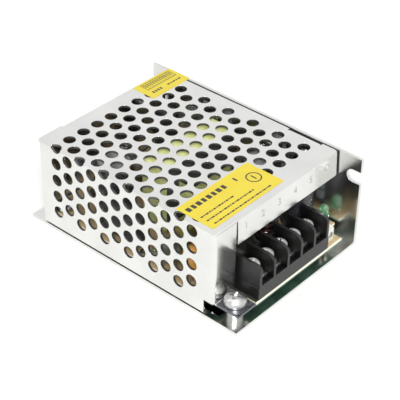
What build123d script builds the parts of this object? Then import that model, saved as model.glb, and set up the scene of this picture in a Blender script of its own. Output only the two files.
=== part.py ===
from build123d import *
import math
import os

# Open-frame mains power supply in a two-piece folded sheet case.
# Millimetres. X runs across the case, Y from the terminal end to the rear, Z up from the base.
# The origin is the middle of the base's underside.

# Reach of cutters past the faces they cut, and of joined pieces into each other
past = 1.0
sheet_overlap = 1.0
lead_embed = 1.0

# Case sizes
case_width = 58.0
case_length = 85.0
case_height = 32.0
chassis_sheet = 1.0
cover_sheet = 0.8
bend_inside = 0.25
front_ledge = 8.7
rear_ledge = 5.2
cover_wall_gap = 0.7
flange_top_gap = 0.1
cover_foot_gap = 0.7
seam_gap = 0.4

# Perforations: a staggered pattern punched in the flat sheet and folded with it
hole_diameter = 4.0
hole_pitch = 6.0
hole_row_pitch = 5.0
hole_rear_margin = 7.5
hole_front_margin = 8.6
hole_wall_margin = 5.0
hole_foot_margin = 6.1

# Front of the cover: lip over the terminals, side flange and its screwed foot tab
flange_width = 9.3
wire_gap = 5.2
tab_inset = 1.0
tab_width = 7.8
tab_reach = 8.5
foot_notch_length = 3.8
foot_notch_height = 6.5

# Rear tongue of the cover and its slot in the base
tongue_width = 9.0
tongue_clearance = 0.2
tongue_depth = 0.8

# Ear of the cover behind the chassis wall
ear_length = 12.0
ear_height = 10.0
ear_rear_inset = 17.8
ear_screw_drop = 5.5
ear_screw_proud = 1.2

# Mounting holes and slots of the chassis
ear_slot_width = 4.4
ear_slot_depth = 5.0
ear_slot_drop = 6.8
mount_hole_radius = 1.5
base_mount_spacing = 55.0
wall_mount_spacing = 50.0
wall_mount_height = 16.0

# Machine screws, M3; the foot tab's screw has a larger head
shank_radius = 1.45
thread_clearance = 0.05
head_radius = 3.1
head_height = 2.1
head_crown = 1.35
foot_head_radius = 3.4
foot_head_height = 3.0
cross_length = 3.4
cross_width = 0.9
cross_depth = 1.3
recess_share = 0.6
crown_share = 0.45
countersunk_radius = 2.45

# Standoffs
standoff_radius = 2.5
standoff_spigot = 1.9
cover_standoff_height = 4.7
cover_standoff_inset = 5.1
cover_standoff_setback = 4.9
cover_screw_length = 4.6
pcb_gap = 3.8
pcb_screw_length = 3.8
spacer_radius = 2.2

# Printed circuit board
pcb_thickness = 1.2
pcb_front_inset = 0.6
pcb_side_clearance = 0.5
pcb_rear_clearance = 0.6
pcb_wall_gap = 1.2
pcb_notch_clearance = 0.6
pcb_step_width = 4.9
pcb_step_length = 6.3
pcb_screw_side_inset = 3.4
pcb_screw_rear_inset = 4.0
pcb_rear_screw_inset = 14.5
spacer_side_inset = 7.7
pcb_screw_rectifier_gap = 4.3
lead_radius = 0.4
lead_clearance = 0.1
lead_stub = 1.4

# Insulating sheet on the base
insulator_thickness = 0.25
insulator_margin = 1.0
insulator_front_inset = 8.5
insulator_hole_clearance = 0.4

# Terminal block
ways = 5
way_pitch = 6.35
barrier_thickness = 1.0
block_inset = 11.0
block_depth = 10.5
block_setback = 0.2
block_height = 12.0
block_rear_wall = 1.0
block_rear_height = 9.0
front_wall_height = 4.8
front_wall_thickness = 0.9
shoulder_height = 4.2
shoulder_step = 0.25
trough_depth = 2.2
divider_round = 3.0
end_plate_round = 1.9
plate_seat_height = 4.7
plate_setback = 2.2
plate_thickness = 0.8
plate_lip = 1.2
plate_side_clearance = 0.12
terminal_screw_setback = 6.1
terminal_head_radius = 2.45
terminal_head_height = 3.0
terminal_head_crown = 1.1
terminal_shank_radius = 1.47
terminal_shank_length = 5.2
terminal_cross_length = 3.4
terminal_cross_width = 0.8
terminal_cross_depth = 1.3
terminal_slot_depth = 0.7
clamp_washer_thickness = 0.8
clamp_washer_clearance = 0.06
screw_pocket_clearance = 0.4
terminal_pin_width = 1.0
terminal_pin_inset = 1.6

# Transformer: upright E cores, bobbin, winding and the tape round the core
transformer_x = 30.7
transformer_y = 46.2
core_width = 31.0
core_thickness = 10.5
core_top_gap = 2.0
core_yoke = 5.0
core_window = 5.5
core_lift = 0.8
tape_thickness = 0.25
tape_margin = 0.3
tape_corner_share = 0.9
bobbin_wall = 0.9
bobbin_fit = 0.1
bobbin_flange = 1.0
winding_build = 4.0
winding_corner_share = 0.7
flange_overhang = 0.6
pin_rail_depth = 3.0
pin_rail_height = 3.4
pin_rail_end_inset = 0.5
pin_pitch = 5.0
pins_per_rail = 4

# Electrolytic capacitors: radius, gap under the cover and place from the board's front-left corner
bulk_radius = 6.25
bulk_top_gap = 4.7
bulk_x = 11.6
bulk_y = 59.8
bulk_lead_pitch = 5.0
output_radius = 5.0
output_top_gap = 5.7
output_x = 43.5
output_first_y = 16.0
output_front_shift = 3.7
output_spacing = 13.2
output_lead_pitch = 5.0
auxiliary_radius = 4.0
auxiliary_top_gap = 6.2
auxiliary_x = 45.6
auxiliary_y = 69.2
auxiliary_lead_pitch = 3.5
can_bead_height = 2.2
can_bead_depth = 0.5
can_shoulder = 0.8
can_rim = 1.2
can_recess = 0.3

# Input filter and protection
box_edge_round = 0.5
disc_edge_share = 0.35
fuse_length = 8.4
fuse_width = 4.0
fuse_height = 7.6
fuse_x = 12.5
fuse_y = 13.2
fuse_lead_pitch = 5.1
choke_x = 15.7
choke_y = 21.2
choke_leg_spacing = 8.0
choke_leg = 2.6
choke_height = 12.4
choke_winding_radius = 3.0
choke_winding_height = 6.6
choke_foot = 0.6
choke_fit = 0.15
choke_lead_pitch = 4.0
x_capacitor_length = 13.0
x_capacitor_width = 6.0
x_capacitor_height = 12.0
x_capacitor_x = 13.2
x_capacitor_y = 30.0
x_capacitor_lead_pitch = 10.0
varistor_radius = 5.7
varistor_thickness = 3.6
varistor_x = 3.1
varistor_y = 17.9
varistor_lift = 2.8
thermistor_radius = 4.3
thermistor_thickness = 3.4
thermistor_x = 3.1
thermistor_y = 29.2
thermistor_lift = 2.5
y_capacitor_radius = 4.2
y_capacitor_thickness = 3.4
y_capacitor_x = 23.2
y_capacitor_y = 62.6
y_capacitor_lift = 2.2
disc_lead_pitch = 5.0
rectifier_length = 14.0
rectifier_thickness = 3.6
rectifier_height = 10.5
rectifier_lift = 2.0
rectifier_x = 4.3
rectifier_y = 48.9
rectifier_pins = 4
rectifier_pin_pitch = 3.8
rectifier_chamfer = 2.0

# Power transistor and output rectifier clamped to the wall
package_width = 10.0
package_body_height = 9.2
package_height = 15.7
package_depth = 4.5
package_tab = 1.3
package_hole_drop = 2.8
package_hole_radius = 1.9
package_lift = 4.4
package_pin_width = 1.0
package_pin_thickness = 0.5
package_pin_pitch = 2.54
package_pin_setback = 2.6
pad_thickness = 0.3
pad_margin = 1.0
pad_hole_radius = 1.6
transistor_y = 56.0
output_rectifier_y = 33.9
package_screw_head = 2.6
package_screw_height = 1.7

# Output inductor, small chips and axial parts
inductor_radius = 4.0
inductor_height = 11.0
inductor_flange = 1.5
inductor_post = 1.8
inductor_winding_radius = 3.6
inductor_x = 33.2
inductor_y = 16.9
inductor_lead_pitch = 5.0
chip_width = 6.4
chip_height = 3.3
chip_lift = 0.6
chip_pin_width = 0.5
chip_notch_radius = 0.9
chip_notch_depth = 0.5
chip_pin_pitch = 2.54
chip_row_pitch = 7.62
controller_length = 9.6
controller_pins = 4
controller_x = 31.7
controller_y = 64.2
optocoupler_length = 4.6
optocoupler_pins = 2
optocoupler_x = 31.2
optocoupler_y = 31.4
resistor_radius = 1.2
resistor_waist = 1.0
resistor_length = 6.3
resistor_span = 10.0
diode_radius = 1.35
diode_length = 5.2
diode_span = 9.0
axial_lift = 0.25
axial_lead_radius = 0.3
axial_cap_share = 0.25

# Indicator lamp and voltage trimmer beside the terminal block
lamp_radius = 1.5
lamp_collar_radius = 1.9
lamp_collar_height = 1.0
lamp_height = 3.8
lamp_lift = 2.8
lamp_edge_inset = 2.0
lamp_y = 9.3
lamp_lead_pitch = 2.54
lamp_lead_radius = 0.25
wafer_width = 4.8
wafer_height = 5.0
wafer_thickness = 1.0
wafer_edge_inset = 1.15
wafer_setback = 3.4
trimmer_width = 2.8
trimmer_height = 4.4
trimmer_depth = 1.6
trimmer_side_inset = 1.2
rotor_radius = 0.95
rotor_clearance = 0.05
rotor_height = 2.2
rotor_length = 1.4
rotor_proud = 0.15
rotor_slot_width = 0.5
rotor_slot_depth = 0.5

# Stickers
sticker_thickness = 0.1
main_label_length = 31.5
main_label_width = 14.0
main_label_side_inset = 1.5
main_label_front_inset = 2.1
rear_sticker_length = 17.3
rear_sticker_width = 9.2
rear_sticker_rear_inset = 0.9

# Levels and edges that follow from the sizes above
case_left = -case_width / 2
case_right = case_width / 2
case_front = -case_length / 2
case_rear = case_length / 2
wall_inside = case_right - chassis_sheet
base_top = chassis_sheet
cover_front = case_front + front_ledge
cover_rear = case_rear - rear_ledge
cover_right = wall_inside - cover_wall_gap
cover_inside_top = case_height - cover_sheet
cover_foot = base_top + cover_foot_gap
tab_underside = base_top + cover_standoff_height
tab_top = tab_underside + cover_sheet
flange_right = case_left + flange_width
flange_top = cover_inside_top - flange_top_gap
bend_reach = bend_inside + cover_sheet
pcb_bottom = base_top + pcb_gap
pcb_top = pcb_bottom + pcb_thickness
pcb_left = case_left + cover_sheet + pcb_side_clearance
pcb_right = wall_inside - pcb_wall_gap
pcb_front = case_front + pcb_front_inset
pcb_rear = cover_rear - cover_sheet - pcb_rear_clearance
lead_tip = pcb_bottom - lead_stub
foot_screw_x = case_left + cover_standoff_inset
foot_screw_y = case_front + cover_standoff_setback
block_left = case_left + block_inset
block_right = block_left + ways * way_pitch + barrier_thickness
block_front = pcb_front + block_setback
block_rear = block_front + block_depth
lip_foot = pcb_top + block_height + wire_gap
plate_front = block_front + plate_setback
plate_rear = block_rear - block_rear_wall - plate_side_clearance
plate_top = pcb_top + plate_seat_height + plate_thickness
washer_top = plate_top + clamp_washer_thickness
terminal_screw_y = block_front + terminal_screw_setback
terminal_pin_y = plate_rear - terminal_pin_inset / 2
compartment_width = way_pitch - barrier_thickness
plate_width = compartment_width - 2 * plate_side_clearance
core_side_leg = (core_width - 2 * core_window) / 4
core_leg = 2 * core_side_leg
core_centre_x = pcb_left + transformer_x
core_centre_y = pcb_front + transformer_y
core_foot = pcb_top + core_lift
core_top = cover_inside_top - core_top_gap
core_middle = (core_foot + core_top) / 2
bulk_height = cover_inside_top - bulk_top_gap - pcb_top
output_height = cover_inside_top - output_top_gap - pcb_top
auxiliary_height = cover_inside_top - auxiliary_top_gap - pcb_top
window_low = core_foot + core_yoke
window_high = core_top - core_yoke
wafer_left = block_right + wafer_edge_inset
wafer_front = pcb_front + wafer_setback
trimmer_left = wafer_left + trimmer_side_inset
trimmer_front = wafer_front - trimmer_depth
rotor_x = trimmer_left + trimmer_width / 2
rotor_z = pcb_top + rotor_height
lamp_x = pcb_right - lamp_edge_inset
package_back = wall_inside - pad_thickness
package_foot = pcb_top + package_lift
package_hole_z = package_foot + package_height - package_hole_drop
package_pin_x = package_back - package_pin_setback
ear_middle_y = cover_front + ear_rear_inset - ear_length / 2
ear_screw_z = case_height - ear_screw_drop
bore_radius = shank_radius + thread_clearance
wall_cut = (wall_inside - past, case_right + past)
package_places = [pcb_front + transistor_y, pcb_front + output_rectifier_y]
rectifier_front = pcb_front + rectifier_y - rectifier_length / 2
pcb_screw_places = [
    (pcb_left + pcb_screw_side_inset, pcb_rear - pcb_screw_rear_inset),
    (pcb_right - pcb_rear_screw_inset, pcb_rear - pcb_screw_side_inset),
    (pcb_left + pcb_screw_side_inset, rectifier_front - pcb_screw_rectifier_gap),
]
spacer_place = (pcb_right - spacer_side_inset, pcb_front + block_depth)
resistor_places = [(30.0, 23.8), (30.0, 27.2), (23.6, 70.1), (23.6, 73.4)]
diode_places = [(14.0, 71.6, False), (39.2, 63.4, True)]


def block(x0, x1, y0, y1, z0, z1):
    """A box given by its two extreme corners."""
    centre = Pos((x0 + x1) / 2, (y0 + y1) / 2, (z0 + z1) / 2)
    return centre * Box(x1 - x0, y1 - y0, z1 - z0)


def post(x, y, z0, z1, radius):
    """An upright cylinder between two levels."""
    return Pos(x, y, (z0 + z1) / 2) * Cylinder(radius, z1 - z0)


def rod_x(x0, x1, y, z, radius):
    """A cylinder along X."""
    return Pos((x0 + x1) / 2, y, z) * Rot(0, 90, 0) * Cylinder(radius, x1 - x0)


def rod_y(x, y0, y1, z, radius):
    """A cylinder along Y."""
    return Pos(x, (y0 + y1) / 2, z) * Rot(90, 0, 0) * Cylinder(radius, y1 - y0)


def across(y_rear):
    """Plane for a profile in X and Z that is extruded towards the front."""
    return Plane(origin=(0, y_rear, 0), x_dir=(1, 0, 0), z_dir=(0, -1, 0))


def along(x_left):
    """Plane for a profile in Y and Z that is extruded to the right."""
    return Plane(origin=(x_left, 0, 0), x_dir=(0, 1, 0), z_dir=(1, 0, 0))


def upright(z_low):
    """Plane for a profile in X and Y that is extruded upwards."""
    return Plane(origin=(0, 0, z_low))


def bent_sheet(points, thickness, plane, width):
    """Folded sheet whose middle surface follows the points."""
    path = FilletPolyline(*points, radius=bend_inside + thickness / 2)
    return extrude(plane * trace(path, thickness), amount=width)


def merge(solids):
    """One shape from several that touch."""
    shape = solids[0]
    for solid in solids[1:]:
        shape = shape + solid
    return shape


def row_of_leads(x, y, pitch, count, along_y=False):
    """Places of a straight row of leads centred on a point."""
    start = -pitch * (count - 1) / 2
    steps = [start + pitch * i for i in range(count)]
    if along_y:
        return [(x, y + step) for step in steps]
    return [(x + step, y) for step in steps]


def leads(places, level, radius=lead_radius):
    """Round leads from a level down through the board."""
    return [post(x, y, lead_tip, level, radius) for x, y in places]


def cross_recess(length, width, depth, top):
    """Cutter for a cross recess whose mouth is at a level."""
    bar = Pos(0, 0, top - depth / 2) * Box(length, width, depth)
    return bar + Rot(0, 0, 90) * bar


def pan_screw(radius, height, crown, shank, shank_length, recess):
    """Pan head screw with the head's underside at Z 0 and its shank below."""
    head = Pos(0, 0, height / 2) * Cylinder(radius, height)
    head = fillet(head.edges().sort_by(Axis.Z)[-1], crown)
    stem = Pos(0, 0, -shank_length / 2) * Cylinder(shank, shank_length)
    return head + stem - recess


def machine_screw(shank_length, radius=head_radius, height=head_height):
    """M3 pan head screw with a cross recess."""
    recess = cross_recess(cross_length, cross_width, min(cross_depth, recess_share * height), height)
    crown = min(head_crown, crown_share * height)
    return pan_screw(radius, height, crown, shank_radius, shank_length, recess)


# Sheet metal


def end_slot(y_end, inward):
    """Cutter for an open-ended slot in the wall."""
    z = case_height - ear_slot_drop
    half = ear_slot_width / 2
    y_round = y_end + inward * (ear_slot_depth - half)
    y_out = y_end - inward
    low, high = sorted((y_round, y_out))
    straight = block(*wall_cut, low, high, z - half, z + half)
    return straight + rod_x(*wall_cut, y_round, z, half)


def make_chassis():
    """Base plate and wall folded from one sheet."""
    mid = chassis_sheet / 2
    profile = [(case_left, mid), (case_right - mid, mid), (case_right - mid, case_height)]
    shell = bent_sheet(profile, chassis_sheet, across(case_rear), case_length)
    cutters = [end_slot(case_front, 1), end_slot(case_rear, -1)]
    for side in (-1, 1):
        y_base = side * base_mount_spacing / 2
        cutters.append(post(0, y_base, -past, base_top + past, mount_hole_radius))
        y_wall = side * wall_mount_spacing / 2
        cutters.append(rod_x(*wall_cut, y_wall, wall_mount_height, mount_hole_radius))
    for x, y in pcb_screw_places + [(foot_screw_x, foot_screw_y)]:
        cutters.append(post(x, y, -past, base_top + past, standoff_spigot))
    for y in package_places:
        cutters.append(rod_x(*wall_cut, y, package_hole_z, bore_radius))
    cutters.append(countersink())
    half = tongue_width / 2 + tongue_clearance
    slot_front = cover_rear - cover_sheet - tongue_clearance
    cutters.append(block(-half, half, slot_front, cover_rear + tongue_clearance, -past, base_top + past))
    return shell - cutters


def countersink():
    """Cone and clearance hole for the screw that holds the cover's ear."""
    depth = countersunk_radius - shank_radius
    cone = Cone(bore_radius, countersunk_radius + thread_clearance, depth)
    cone = Pos(case_right - depth / 2, ear_middle_y, ear_screw_z) * Rot(0, 90, 0) * cone
    return cone + rod_x(*wall_cut, ear_middle_y, ear_screw_z, bore_radius)


def perforations():
    """Cutters for the round holes of the top and of the side wall."""
    radius = hole_diameter / 2
    rows = int((cover_rear - cover_front - hole_rear_margin - hole_front_margin) / hole_row_pitch) + 1
    top_steps = int((cover_right - case_left - hole_wall_margin) / (hole_pitch / 2))
    side_steps = int((case_height - cover_foot - hole_foot_margin) / (hole_pitch / 2))
    cutters = []
    for row in range(rows):
        y = cover_rear - hole_rear_margin - hole_row_pitch * row
        first = row % 2
        for step in range(first, top_steps + 1, 2):
            x = case_left + step * hole_pitch / 2
            cutters.append(post(x, y, cover_inside_top - bend_inside, case_height + past, radius))
        for step in range(first, side_steps + 1, 2):
            z = case_height - step * hole_pitch / 2
            wall_reach = case_left + cover_sheet + bend_inside
            cutters.append(rod_x(case_left - past, wall_reach, y, z, radius))
    return cutters


def make_cover():
    """Perforated cover: top, side wall, lip, flanges, foot tab, rear flap and ear in one folded sheet."""
    mid = cover_sheet / 2
    left = case_left + mid
    top = case_height - mid
    front = cover_front + mid
    rear = cover_rear - mid
    side_and_top = [(left, cover_foot), (left, top), (cover_right, top)]
    shell = bent_sheet(side_and_top, cover_sheet, across(cover_rear), cover_rear - cover_front)
    lip_left = flange_right + seam_gap
    above = case_height + past
    beyond = cover_right + past
    ends = [(cover_front - past, cover_front + bend_reach), (cover_rear - bend_reach, cover_rear + past)]
    for y0, y1 in ends:
        shell -= block(lip_left, beyond, y0, y1, 0, above)
        shell -= block(case_left - past, lip_left, y0, y1, 0, flange_top)
    inner_y = cover_front + bend_reach + sheet_overlap
    lip_profile = [(inner_y, top), (front, top), (front, lip_foot)]
    shell += bent_sheet(lip_profile, cover_sheet, along(lip_left), cover_right - lip_left)
    front_flange = [(left, inner_y), (left, front), (flange_right, front)]
    shell += bent_sheet(front_flange, cover_sheet, upright(tab_top), flange_top - tab_top)
    tab_left = case_left + tab_inset
    tab_front = cover_front - tab_reach
    tab_profile = [(front, tab_top + bend_reach), (front, tab_top - mid), (tab_front, tab_top - mid)]
    shell += bent_sheet(tab_profile, cover_sheet, along(tab_left), tab_width)
    outer_y = cover_rear - bend_reach - sheet_overlap
    rear_profile = [(outer_y, top), (rear, top), (rear, cover_foot)]
    shell += bent_sheet(rear_profile, cover_sheet, along(lip_left), cover_right - lip_left)
    rear_flange = [(left, outer_y), (left, rear), (flange_right, rear)]
    shell += bent_sheet(rear_flange, cover_sheet, upright(cover_foot), flange_top - cover_foot)
    half = tongue_width / 2
    tongue_foot = base_top - tongue_depth
    shell += block(-half, half, cover_rear - cover_sheet, cover_rear, tongue_foot, cover_foot)
    ear_front = ear_middle_y - ear_length / 2
    ear_rear = ear_middle_y + ear_length / 2
    edge = cover_right - bend_reach
    shell -= block(edge, beyond, ear_front - seam_gap, ear_rear + seam_gap, 0, above)
    ear_x = cover_right - mid
    ear_profile = [(edge - sheet_overlap, top), (ear_x, top), (ear_x, case_height - ear_height)]
    shell += bent_sheet(ear_profile, cover_sheet, across(ear_rear), ear_length)
    notch_rear = cover_front + foot_notch_length
    notch_x = case_left + cover_sheet
    shell -= block(case_left - past, notch_x, cover_front - past, notch_rear, 0, foot_notch_height)
    shell -= post(foot_screw_x, foot_screw_y, tab_underside - past, tab_top + past, bore_radius)
    shell -= rod_x(cover_right - cover_sheet - past, beyond, ear_middle_y, ear_screw_z, bore_radius)
    return shell - perforations()


def standoff(x, y, height):
    """Pressed-in pillar with a blind threaded bore."""
    pillar = post(x, y, base_top, base_top + height, standoff_radius)
    spigot = post(x, y, 0, base_top, standoff_spigot)
    return pillar + spigot - post(x, y, base_top / 2, base_top + height + past, bore_radius)


def make_ear_screw():
    """Countersunk screw, flush with the wall's outer face."""
    depth = countersunk_radius - shank_radius
    head = Cone(shank_radius, countersunk_radius, depth)
    head = Pos(case_right - depth / 2, ear_middle_y, ear_screw_z) * Rot(0, 90, 0) * head
    inner = cover_right - cover_sheet - ear_screw_proud
    stem = rod_x(inner, case_right - depth, ear_middle_y, ear_screw_z, shank_radius)
    recess = cross_recess(2 * shank_radius, cross_width, depth, 0)
    recess = Pos(case_right, ear_middle_y, ear_screw_z) * Rot(0, 90, 0) * recess
    return head + stem - recess


# Board and insulating sheet


def lead_places():
    """Place of every hole that the board needs for a round lead."""
    places = []
    places += row_of_leads(pcb_left + bulk_x, pcb_front + bulk_y, bulk_lead_pitch, 2)
    for x, y in output_places():
        places += row_of_leads(x, y, output_lead_pitch, 2)
    places += row_of_leads(pcb_left + auxiliary_x, pcb_front + auxiliary_y, auxiliary_lead_pitch, 2)
    places += row_of_leads(pcb_left + fuse_x, pcb_front + fuse_y, fuse_lead_pitch, 2)
    places += choke_lead_places()
    places += row_of_leads(pcb_left + x_capacitor_x, pcb_front + x_capacitor_y, x_capacitor_lead_pitch, 2)
    places += row_of_leads(pcb_left + varistor_x, pcb_front + varistor_y, disc_lead_pitch, 2, True)
    places += row_of_leads(pcb_left + thermistor_x, pcb_front + thermistor_y, disc_lead_pitch, 2, True)
    places += row_of_leads(pcb_left + y_capacitor_x, pcb_front + y_capacitor_y, disc_lead_pitch, 2)
    places += rectifier_lead_places()
    places += row_of_leads(pcb_left + inductor_x, pcb_front + inductor_y, inductor_lead_pitch, 2)
    places += pin_rail_places()
    places += chip_lead_places(controller_x, controller_y, controller_pins)
    places += chip_lead_places(optocoupler_x, optocoupler_y, optocoupler_pins)
    for x, y in resistor_places:
        places += row_of_leads(pcb_left + x, pcb_front + y, resistor_span, 2)
    for x, y, along_y in diode_places:
        places += row_of_leads(pcb_left + x, pcb_front + y, diode_span, 2, along_y)
    places += row_of_leads(lamp_x, pcb_front + lamp_y, lamp_lead_pitch, 2, True)
    places += trimmer_lead_places()
    return places


def make_pcb():
    """Board cut back at the cover's foot tab and at the wall's front end, and drilled for every lead."""
    notch_x = flange_right + pcb_notch_clearance / 2
    notch_y = cover_front + cover_sheet + pcb_notch_clearance
    step_x = pcb_right - pcb_step_width
    step_y = pcb_front + pcb_step_length
    board = block(pcb_left, pcb_right, pcb_front, pcb_rear, pcb_bottom, pcb_top)
    board -= block(pcb_left - past, notch_x, pcb_front - past, notch_y, 0, case_height)
    board -= block(step_x, pcb_right + past, pcb_front - past, step_y, 0, case_height)
    hole = lead_radius + lead_clearance
    cutters = [post(x, y, pcb_bottom - past, pcb_top + past, hole) for x, y in lead_places()]
    for x, y in pcb_screw_places:
        cutters.append(post(x, y, pcb_bottom - past, pcb_top + past, bore_radius))
    for y in package_places:
        for step in (-1, 0, 1):
            half_x = package_pin_thickness / 2 + lead_clearance
            half_y = package_pin_width / 2 + lead_clearance
            x0 = package_pin_x - half_x
            x1 = package_pin_x + half_x
            pin_y = y + step * package_pin_pitch
            cutters.append(block(x0, x1, pin_y - half_y, pin_y + half_y, 0, case_height))
    for x in way_centres():
        cutters.append(terminal_pin(x, lead_clearance))
    return board - cutters


def make_insulator():
    """Thin sheet that lies on the base under the board."""
    left = pcb_left + insulator_margin
    right = wall_inside - insulator_margin - bend_inside
    front = case_front + insulator_front_inset
    rear = cover_rear - cover_sheet - insulator_margin
    sheet = block(left, right, front, rear, base_top, base_top + insulator_thickness)
    reach = standoff_radius + insulator_hole_clearance
    places = pcb_screw_places + [spacer_place]
    cutters = [post(x, y, 0, pcb_bottom, reach) for x, y in places]
    for side in (-1, 1):
        hole = mount_hole_radius + insulator_hole_clearance
        cutters.append(post(0, side * base_mount_spacing / 2, 0, pcb_bottom, hole))
    return sheet - cutters


# Terminal block


def way_centres():
    """Middle of each wire compartment."""
    first = block_left + (way_pitch + barrier_thickness) / 2
    return [first + way_pitch * i for i in range(ways)]


def barrier(x0, x1, radius):
    """Upright plate with its top front corner rounded."""
    plate = block(x0, x1, block_front, block_rear, pcb_top, pcb_top + block_height)
    corner = plate.edges().filter_by(Axis.X).group_by(Axis.Z)[-1].sort_by(Axis.Y)[0]
    return fillet(corner, radius)


def terminal_pin(x, clearance):
    """Solder pin of a contact plate, or the passage for it."""
    half_x = terminal_pin_width / 2 + clearance
    half_y = plate_thickness / 2 + clearance
    y0 = terminal_pin_y - half_y
    y1 = terminal_pin_y + half_y
    return block(x - half_x, x + half_x, y0, y1, lead_tip - clearance, plate_top - plate_thickness)


def make_terminal_block():
    """Moulded housing with barriers between its wire compartments."""
    seat = pcb_top + plate_seat_height
    body = block(block_left, block_right, block_front, block_rear, pcb_top, seat)
    foot = block(
        block_left - shoulder_step, block_right + shoulder_step,
        block_front, block_rear, pcb_top, pcb_top + shoulder_height,
    )
    body += foot
    wall_top = pcb_top + front_wall_height
    wall_rear = block_front + front_wall_thickness
    body += block(block_left, block_right, block_front, wall_rear, pcb_top, wall_top)
    rear_top = pcb_top + block_rear_height
    body += block(block_left, block_right, block_rear - block_rear_wall, block_rear, pcb_top, rear_top)
    for i in range(ways + 1):
        x = block_left + way_pitch * i
        is_end = i in (0, ways)
        body += barrier(x, x + barrier_thickness, end_plate_round if is_end else divider_round)
    for x in way_centres():
        half = compartment_width / 2
        trough_rear = plate_front + plate_thickness
        trough_floor = seat - trough_depth
        body -= block(x - half, x + half, wall_rear, trough_rear, trough_floor, seat + past)
        pocket = terminal_shank_radius + screw_pocket_clearance
        pocket_floor = washer_top - terminal_shank_length - screw_pocket_clearance
        body -= post(x, terminal_screw_y, pocket_floor, seat + past, pocket)
        body -= terminal_pin(x, lead_clearance)
    return body


def make_contact_plate(x):
    """Tapped contact plate with a turned-down front and a solder pin."""
    half = plate_width / 2
    low = plate_top - plate_thickness
    plate = block(x - half, x + half, plate_front, plate_rear, low, plate_top)
    plate += block(x - half, x + half, plate_front, plate_front + plate_thickness, low - plate_lip, low)
    edge = plate.edges().filter_by(Axis.X).group_by(Axis.Z)[-1].sort_by(Axis.Y)[0]
    plate = fillet(edge, plate_thickness / 2)
    plate += terminal_pin(x, 0)
    bore = terminal_shank_radius + thread_clearance
    return plate - post(x, terminal_screw_y, low - past, plate_top + past, bore)


def make_clamp_washer(x):
    """Square washer that the terminal screw carries up and down."""
    half = plate_width / 2
    y = terminal_screw_y
    washer = block(x - half, x + half, y - half, y + half, plate_top, washer_top)
    washer = chamfer(washer.edges().filter_by(Axis.Z), clamp_washer_thickness / 2)
    bore = terminal_shank_radius + clamp_washer_clearance
    return washer - post(x, y, plate_top - past, washer_top + past, bore)


def make_terminal_screw(x):
    """Pan head screw with a combined cross and slot recess."""
    recess = cross_recess(
        terminal_cross_length, terminal_cross_width, terminal_cross_depth, terminal_head_height,
    )
    slot_z = terminal_head_height - terminal_slot_depth / 2
    recess += Pos(0, 0, slot_z) * Box(3 * terminal_head_radius, terminal_cross_width, terminal_slot_depth)
    screw = pan_screw(
        terminal_head_radius, terminal_head_height, terminal_head_crown,
        terminal_shank_radius, terminal_shank_length, recess,
    )
    return Pos(x, terminal_screw_y, washer_top) * screw


# Transformer


def make_core_half(upper):
    """One E of the core, with its yoke at the top or at the bottom."""
    x, y = core_centre_x, core_centre_y
    half_y = core_thickness / 2
    low, high = (core_middle, core_top) if upper else (core_foot, core_middle)
    core = block(x - core_width / 2, x + core_width / 2, y - half_y, y + half_y, low, high)
    window_edge = core_width / 2 - core_side_leg
    z0, z1 = (low - past, window_high) if upper else (window_low, high + past)
    for side in (-1, 1):
        x0, x1 = sorted((x + side * core_leg / 2, x + side * window_edge))
        core -= block(x0, x1, y - half_y - past, y + half_y + past, z0, z1)
    return core


def ring(x, y, outer_x, outer_y, inner_x, inner_y, z0, z1, radius):
    """Rectangular tube round the centre leg with rounded outer corners."""
    outer = Pos(x, y, (z0 + z1) / 2) * Box(outer_x, outer_y, z1 - z0)
    outer = fillet(outer.edges().filter_by(Axis.Z), radius)
    return outer - Pos(x, y, (z0 + z1) / 2) * Box(inner_x, inner_y, z1 - z0 + 2 * past)


def pin_rail_offset():
    """Distance of each pin rail from the middle of the core."""
    return core_thickness / 2 + bobbin_fit + bobbin_wall + pin_rail_depth / 2


def pin_rail_places():
    """Places of the transformer's pins."""
    places = []
    for side in (-1, 1):
        y = core_centre_y + side * pin_rail_offset()
        places += row_of_leads(core_centre_x, y, pin_pitch, pins_per_rail)
    return places


def make_bobbin():
    """Moulded former with two flanges, pin rails and pins."""
    x, y = core_centre_x, core_centre_y
    inner_x = core_leg + 2 * bobbin_fit
    inner_y = core_thickness + 2 * bobbin_fit
    low = window_low
    high = window_high
    tube_x = inner_x + 2 * bobbin_wall
    tube_y = inner_y + 2 * bobbin_wall
    flange_x = core_width - 2 * core_side_leg - 2 * bobbin_fit
    flange_y = tube_y + 2 * (winding_build + flange_overhang)
    bobbin = ring(x, y, tube_x, tube_y, inner_x, inner_y, low, high, bobbin_wall / 2)
    bobbin += ring(x, y, flange_x, flange_y, inner_x, inner_y, low, low + bobbin_flange, bobbin_flange)
    bobbin += ring(x, y, flange_x, flange_y, inner_x, inner_y, high - bobbin_flange, high, bobbin_flange)
    half_x = core_width / 2 - core_side_leg - pin_rail_end_inset
    for side in (-1, 1):
        y0, y1 = sorted((
            y + side * (pin_rail_offset() - pin_rail_depth / 2),
            y + side * (pin_rail_offset() + pin_rail_depth / 2),
        ))
        bobbin += block(x - half_x, x + half_x, y0, y1, pcb_top, pcb_top + pin_rail_height)
        bobbin += block(x - half_x / 2, x + half_x / 2, y0, y1, pcb_top, low + bobbin_flange)
    return merge([bobbin] + leads(pin_rail_places(), pcb_top + pin_rail_height / 2))


def make_winding():
    """Taped winding between the bobbin's flanges."""
    inner_x = core_leg + 2 * (bobbin_fit + bobbin_wall)
    inner_y = core_thickness + 2 * (bobbin_fit + bobbin_wall)
    outer_x = core_width - 2 * core_side_leg - 4 * bobbin_fit
    outer_y = inner_y + 2 * winding_build
    low = window_low + bobbin_flange
    high = window_high - bobbin_flange
    corner = winding_build * winding_corner_share
    return ring(core_centre_x, core_centre_y, outer_x, outer_y, inner_x, inner_y, low, high, corner)


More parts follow.
